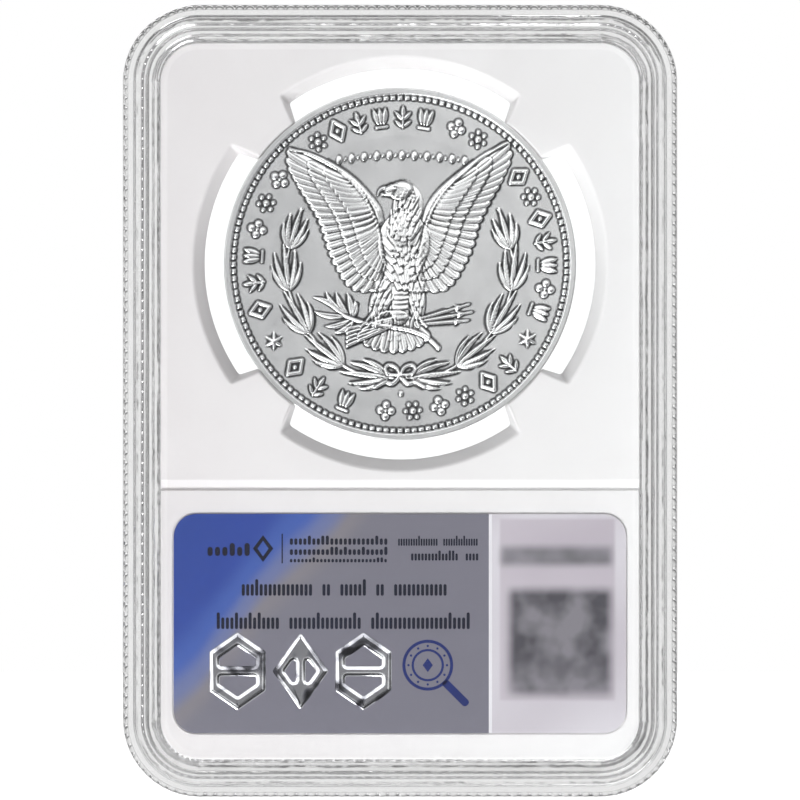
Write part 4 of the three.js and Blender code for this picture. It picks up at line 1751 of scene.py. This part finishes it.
@dataclass
class WordRow:
    """A line of small upright ticks grouped like words, in place of any writing."""

    left: float
    right: float
    bottom: float
    top: float
    words: tuple[int, ...]
    stroke: float = 0.68

    def shapes(self, seed: int) -> list[list[Array]]:
        """The row's ticks, as flat outlines.

        Args:
            seed: Fixes the heights of the ticks.

        Returns:
            Shapes for a flat plate.
        """
        draw = np.random.default_rng(seed)
        pitch = (self.right - self.left) / (2 * sum(self.words) + 2 * (len(self.words) - 1) - 1)
        body = (self.top - self.bottom) * 0.7
        out: list[list[Array]] = []
        x = self.left
        for count in self.words:
            for _ in range(2 * count):
                high = self.top if draw.random() < 0.16 else self.bottom + body
                width = pitch * self.stroke
                out.append([rectangle(x, self.bottom, width, high - self.bottom, width * 0.45, 2)])
                x += pitch
            x += 2 * pitch
        return out


def barred_frame(corners: Array, stroke: float, upright: bool) -> list[Array]:
    """A frame of even stroke with a bar across it.

    Args:
        corners: The frame's outer corners about its own middle, counter-clockwise.
        stroke: The width of the frame and the bar.
        upright: Whether the bar stands up rather than lying level.

    Returns:
        The outline followed by its two holes.
    """
    sides = np.roll(corners, -1, axis=0) - corners
    reach = np.abs(corners[:, 0] * sides[:, 1] - corners[:, 1] * sides[:, 0])
    shrink = 1 - stroke / (reach / np.linalg.norm(sides, axis=1)).min()
    inner = corners * shrink
    axis = 0 if upright else 1
    holes = [clip(inner, axis, stroke / 2, True), clip(inner, axis, -stroke / 2, False)]
    return [fillet_corners(corners, 0.3, 4, closed=True),
            *[fillet_corners(hole, 0.2, 3, closed=True) for hole in holes]]


def hexagon(width: float, height: float) -> Array:
    """The corners of an upright hexagon about its own middle."""
    return np.array([(0, -height / 2), (width / 2, -height / 4), (width / 2, height / 4),
                     (0, height / 2), (-width / 2, height / 4), (-width / 2, -height / 4)])


def lozenge(width: float, height: float) -> Array:
    """The corners of an upright lozenge about its own middle."""
    return np.array([(0, -height / 2), (width / 2, 0), (0, height / 2), (-width / 2, 0)])


@dataclass
class FoilMark:
    """A stamped foil mark that stands for one packed foil node."""

    node: str
    side: Side
    shape: Callable[[float, float], Array]
    upright: bool = False
    stroke: float = 1.1

    def build(self, finish: Finish) -> Piece:
        """Makes the mark and dresses it."""
        block = Block.of(self.node)
        width, _, height = block.size
        loops = barred_frame(self.shape(width, height), self.stroke, self.upright)
        middle = np.array([block.centre[0], block.centre[2]])
        foot, top = block.high[1], block.low[1]
        if self.side is Side.FRONT:
            foot, top = top, foot
        profile = [(sink, top + (foot - top) * drop)
                   for sink, drop in ((0.44, 0.0), (0.3, 0.08), (0.16, 0.28), (0.06, 0.55),
                                      (0.0, 0.9), (0.0, 1.0))]
        piece = flat_plate(f"stamped_{self.node}", [[loop + middle for loop in loops]], profile)
        return seat(piece, finish, "mirror_foil", self.node)


@dataclass
class Card:
    """A printed card in its pocket."""

    side: Side
    shades: CardShades
    corner: float = 2.45
    print_depth: float = 0.012
    block: Block = field(init=False)

    def __post_init__(self) -> None:
        """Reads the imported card's box."""
        self.block = Block.of(self.node)

    @property
    def node(self) -> str:
        """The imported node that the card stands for."""
        return f"{self.side.name.lower()}_label"

    @property
    def face(self) -> float:
        """The Y of the card's printed face."""
        return self.block.low[1] if self.side is Side.BACK else self.block.high[1]

    @property
    def slot(self) -> str:
        """The slot name for the card."""
        return f"{self.side.name.lower()}_card"

    def build(self) -> Piece:
        """Makes the card itself."""
        width, _, height = self.block.size
        outline = rectangle(self.block.low[0], self.block.low[2], width, height, self.corner, 12)
        low, high = self.block.low[1], self.block.high[1]
        profile = [(0.04, low), (0.012, low + 0.012), (0.0, low + 0.04), (0.0, high - 0.04),
                   (0.012, high - 0.012), (0.04, high)]
        piece = flat_plate(f"printed_{self.node}", [[outline]], profile)
        return seat(piece, PrintedCard(self.shades, self.block).make(), self.slot, self.node)

    def ink(self, name: str, shapes: Sequence[Sequence[Array]],
            finish: Finish) -> Piece:
        """Lays a thin layer of ink on the card.

        Args:
            name: The layer's name.
            shapes: Its outlines.
            finish: The ink's material.

        Returns:
            The new piece.
        """
        far = self.face + self.side.value * self.print_depth
        return seat(flat_plate(name, shapes, [(0.0, self.face), (0.0, far)]), finish, self.slot)


@dataclass
class BackCard:
    """The printed back card, with its rows of ticks, emblem, pale panel and soft code."""

    divider: Pair = (9.6, 9.94)
    emblem_centre: Pair = (3.9, 13.4)

    def build(self) -> None:
        """Makes the card and its print."""
        shades = CardShades(
            "back_card_print",
            stops=((0.0, (0.02, 0.055, 0.29)), (0.2, (0.022, 0.057, 0.30)),
                   (0.28, (0.05, 0.105, 0.385)), (0.335, (0.145, 0.175, 0.345)),
                   (0.385, (0.218, 0.205, 0.23)), (0.44, (0.185, 0.18, 0.22))),
            panel=(0.68, 0.655, 0.70), panel_from=self.divider[0], panel_dip=(0.50, 0.46, 0.51),
            patches=(SoftPatch((17.0, 20.3), (12.4, 19.6), (0.50, 0.455, 0.51),
                               (0.57, 0.525, 0.58), 60.0, 0.5),
                     SoftPatch((16.9, 26.1), (12.0, 2.0), (0.16, 0.155, 0.17),
                               (0.30, 0.285, 0.32), 200.0, 1.3),
                     SoftPatch((17.3, 16.8), (11.0, 11.4), (0.07, 0.067, 0.08),
                               (0.225, 0.215, 0.24), 300.0, 1.6)))
        card = Card(Side.BACK, shades)
        card.build()
        top, bottom = card.block.high[2], card.block.low[2]
        white = Ink("white_ink", (0.78, 0.77, 0.80), 0.1).make()
        card.ink("back_divider", [[rectangle(self.divider[0], bottom + 0.05,
                                             self.divider[1] - self.divider[0],
                                             top - bottom - 0.1)]], white)
        dark = Ink("dark_ink", (0.006, 0.007, 0.018), 0.5).make()
        rows = [WordRow(-19.8, 7.2, 18.2, 20.0, (7, 8, 11)),
                WordRow(-17.1, 4.7, 21.8, 23.6, (8, 1, 3, 1, 6)),
                WordRow(-11.9, -1.7, 27.3, 28.3, (11,)),
                WordRow(-11.9, -1.7, 26.2, 27.1, (11,), 0.7),
                WordRow(-11.9, -1.7, 25.4, 25.95, (13,)),
                WordRow(-0.2, 8.2, 27.2, 28.3, (8, 7)),
                WordRow(1.2, 8.2, 25.6, 26.7, (7, 2)),
                WordRow(-20.8, -16.8, 26.1, 27.5, (3,), 0.7)]
        shapes = [shape for seed, row in enumerate(rows) for shape in row.shapes(seed + 3)]
        shapes.append([rectangle(-12.8, 25.3, 0.14, 3.2)])
        shapes.append([lozenge(2.2, 2.9) + np.array([-14.8, 26.9]),
                       lozenge(1.2, 1.7) + np.array([-14.8, 26.9])])
        card.ink("back_rows", shapes, dark)
        self._emblem(card)

    def _emblem(self, card: Card) -> None:
        """Prints the line emblem: a magnifier over a coin."""
        navy = Ink("navy_ink", (0.012, 0.022, 0.12), 0.3).make()
        centre = np.array(self.emblem_centre)
        lens = centre + np.array([-0.9, 0.9])
        handle_from, handle_to = lens + np.array([1.75, -1.75]), lens + np.array([4.3, -4.3])
        along = (handle_to - handle_from) / np.linalg.norm(handle_to - handle_from)
        side = np.array([-along[1], along[0]]) * 0.42
        handle = np.array([handle_from - side, handle_to - side, handle_to + side,
                           handle_from + side])
        shapes = [[circle(2.75, 48, tuple(lens)), circle(2.42, 48, tuple(lens))],
                  [circle(1.75, 40, tuple(lens)), circle(1.5, 40, tuple(lens))],
                  [fillet_corners(handle, 0.35, 5, closed=True)]]
        for k in range(12):
            turn = 2 * math.pi * k / 12
            shapes.append([circle(0.13, 10, (lens[0] + 2.08 * math.cos(turn),
                                             lens[1] + 2.08 * math.sin(turn)))])
        shapes.append([lozenge(1.1, 1.5) + lens])
        card.ink("back_emblem", shapes, navy)


@dataclass
class FrontCard:
    """The printed front card: pale, with a blue band, rows of ticks and a foil badge."""

    def build(self) -> None:
        """Makes the card and its print."""
        shades = CardShades(
            "front_card_print",
            stops=((0.0, (0.10, 0.14, 0.40)), (0.16, (0.30, 0.34, 0.55)),
                   (0.3, (0.66, 0.68, 0.78)), (0.45, (0.80, 0.80, 0.85)),
                   (1.0, (0.84, 0.84, 0.87))))
        card = Card(Side.FRONT, shades)
        card.build()
        dark = Ink("front_dark_ink", (0.02, 0.022, 0.04), 0.4).make()
        rows = [WordRow(-10.0, 9.0, 24.4, 27.6, (4, 3, 6), 0.7),
                WordRow(-10.0, 9.0, 20.0, 22.0, (8, 3, 9)),
                WordRow(-10.0, 9.0, 16.2, 18.2, (5, 6, 8)),
                WordRow(-10.0, 2.0, 12.4, 14.4, (4, 8))]
        shapes = [shape for seed, row in enumerate(rows) for shape in row.shapes(seed + 40)]
        draw = np.random.default_rng(9)
        x = -20.5
        while x < -12.5:
            width = float(draw.choice([0.15, 0.3, 0.45]))
            shapes.append([rectangle(x, 11.0, width, 6.0)])
            x += width + float(draw.choice([0.18, 0.32]))
        card.ink("front_rows", shapes, dark)
        frame_shape = [rectangle(-22.8, 8.6, 45.6, 20.4, 1.4),
                       rectangle(-22.6, 8.8, 45.2, 20.0, 1.2)]
        card.ink("front_border", [frame_shape], Ink("front_navy_ink", (0.05, 0.07, 0.25)).make())


# ---- Studio ---------------------------------------------------------------------------------


@dataclass
class Studio:
    """The pale floor, the soft lights and the camera."""

    focus: Triple
    picture_width: float = 86.24
    lens: float = 420.0
    sensor: float = 36.0
    floor_half: float = 460.0
    light_from: Triple = (210.0, 420.0, 400.0)
    light_size: float = 420.0
    light_power: float = 2.2

    def build(self) -> None:
        """Sets everything up."""
        self._floor()
        self._world()
        self._lights()
        self._camera()
        bpy.context.scene.view_settings.view_transform = "Standard"

    def _floor(self) -> None:
        """Lays the pale floor, which only the camera sees, so it darkens nothing."""
        surface = Surface()
        half = self.floor_half
        surface.face(np.array([(-half, -half, 0), (half, -half, 0), (half, half, 0),
                               (-half, half, 0)], float))
        floor = surface.finish("floor", weld=False, even=False)
        material, graph, shader, _ = new_material("pale_floor")
        graph.set(shader, "Base Color", graph.ramp(
            graph.noise(3.0, 2.0), [(0.3, (0.93, 0.93, 0.93)), (0.7, (0.96, 0.96, 0.96))]))
        for label, value in (("Roughness", 0.9), ("Specular IOR Level", 0.0),
                             ("Emission Color", (1.0, 1.0, 1.0)), ("Emission Strength", 0.85)):
            graph.set(shader, label, value)
        floor.data.materials.append(material)
        floor.visible_glossy = floor.visible_transmission = False
        floor.visible_diffuse = floor.visible_shadow = False

    def _world(self) -> None:
        """Makes a world that is white to the camera, and darker low down in clear edges."""
        world = bpy.data.worlds.new("studio")
        bpy.context.scene.world = world
        world.use_nodes = True
        world.node_tree.nodes.clear()
        graph = Graph(world.node_tree)
        where = graph.add("ShaderNodeTexCoord").outputs["Generated"]
        x, y, z = graph.add("ShaderNodeSeparateXYZ", Vector=where).outputs
        ahead = graph.math("ABSOLUTE", y)
        frontal = graph.fade(ahead, 0.7, 0.84)

        def shade(by_x: float, by_z: float, *stops: Pair) -> Socket:
            """Greys that change along a direction given by its shares of X and Z."""
            lean = graph.math("MULTIPLY_ADD", x, by_x, graph.math("MULTIPLY_ADD", z, by_z, 0.5))
            return graph.ramp(lean, [(place, (level, level, level)) for place, level in stops])

        mirrored = shade(-0.24, 0.44, (0.0, 0.005), (0.36, 0.01), (0.42, 0.08), (0.46, 0.48),
                         (0.5, 0.78), (0.6, 0.8), (0.76, 0.86), (0.92, 1.0))
        reflected = graph.mix(1.0, mirrored, (2.0, 2.0, 2.0), "MULTIPLY")
        reflected = graph.mix(frontal, (0.5, 0.5, 0.51), reflected)
        reflected = graph.mix(graph.fade(ahead, 0.994, 0.998), reflected, (0.22, 0.22, 0.23))
        tilted = shade(0.0, 0.5, (0.0, 0.05), (0.35, 0.06), (0.44, 0.3), (0.5, 0.8), (0.56, 1.0))
        through = graph.mix(frontal, (0.75, 0.75, 0.76), tilted)
        through = graph.mix(graph.fade(ahead, 0.965, 0.996), through, (1.3, 1.3, 1.3))
        scattered = shade(-0.12, -0.34, (0.0, 0.06), (0.5, 0.47), (1.0, 0.92))
        rays = graph.add("ShaderNodeLightPath").outputs
        colour = graph.mix(graph.math("GREATER_THAN", rays["Glossy Depth"], 0.5), through,
                           reflected)
        colour = graph.mix(rays["Is Diffuse Ray"], colour, scattered)
        colour = graph.mix(rays["Is Camera Ray"], colour, (1.0, 1.0, 1.0))
        background = graph.add("ShaderNodeBackground", Color=colour, Strength=1.0)
        graph.set(graph.add("ShaderNodeOutputWorld"), "Surface", background.outputs[0])

    def _lights(self) -> None:
        """Hangs one wide soft light low before each face of the holder."""
        for name, side in (("key", -1.0), ("rear", 1.0)):
            light = bpy.data.lights.new(name, "AREA")
            light.shape = "DISK"
            light.size = self.light_size * MM
            light.energy = self.light_power
            lamp = bpy.data.objects.new(name, light)
            lamp.visible_glossy = False
            across, away, below = self.light_from
            lamp.location = [c * MM for c in (side * across, side * away, -below)]
            toward = Vector(self.focus) * MM - lamp.location
            lamp.rotation_euler = toward.to_track_quat("-Z", "Y").to_euler()
            bpy.context.scene.collection.objects.link(lamp)

    def _camera(self) -> None:
        """Places the camera square to the holder's back."""
        data = bpy.data.cameras.new("camera")
        data.lens = self.lens
        data.sensor_width = self.sensor
        data.clip_end = 20.0
        camera = bpy.data.objects.new("camera", data)
        distance = self.picture_width * self.lens / self.sensor
        x, y, z = self.focus
        camera.location = (x * MM, (y - distance) * MM, z * MM)
        camera.rotation_euler = (math.pi / 2, 0.0, 0.0)
        bpy.context.scene.collection.objects.link(camera)
        bpy.context.scene.camera = camera


# ---- Whole holder ---------------------------------------------------------------------------


def main() -> None:
    """Builds the holder from its shells inwards, then the studio."""
    logging.basicConfig(level=logging.INFO, format="%(message)s")
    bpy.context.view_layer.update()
    front, coin = Block.of("front_shell"), Block.of("coin")
    edge = RoundedEdge(front.size[0], front.size[2], 8.4, front.centre[2])
    clear = ClearPlastic(edge).make()
    for side in Side:
        Shell(side, edge).build(clear)
    Insert(edge, (coin.centre[0], coin.centre[2])).build(MouldedWhite().make())
    Coin(coin).build(StruckSilver().make(), ReededSilver().make())
    BackCard().build()
    FrontCard().build()
    foil = MirrorFoil().make()
    for mark in (FoilMark("back_foil_left", Side.BACK, hexagon),
                 FoilMark("back_foil_middle", Side.BACK, lozenge, upright=True),
                 FoilMark("back_foil_right", Side.BACK, hexagon),
                 FoilMark("front_foil_badge", Side.FRONT, hexagon)):
        mark.build(foil)
    Studio((0.0, -4.0, 42.95)).build()


if __name__ == "__main__":
    main()
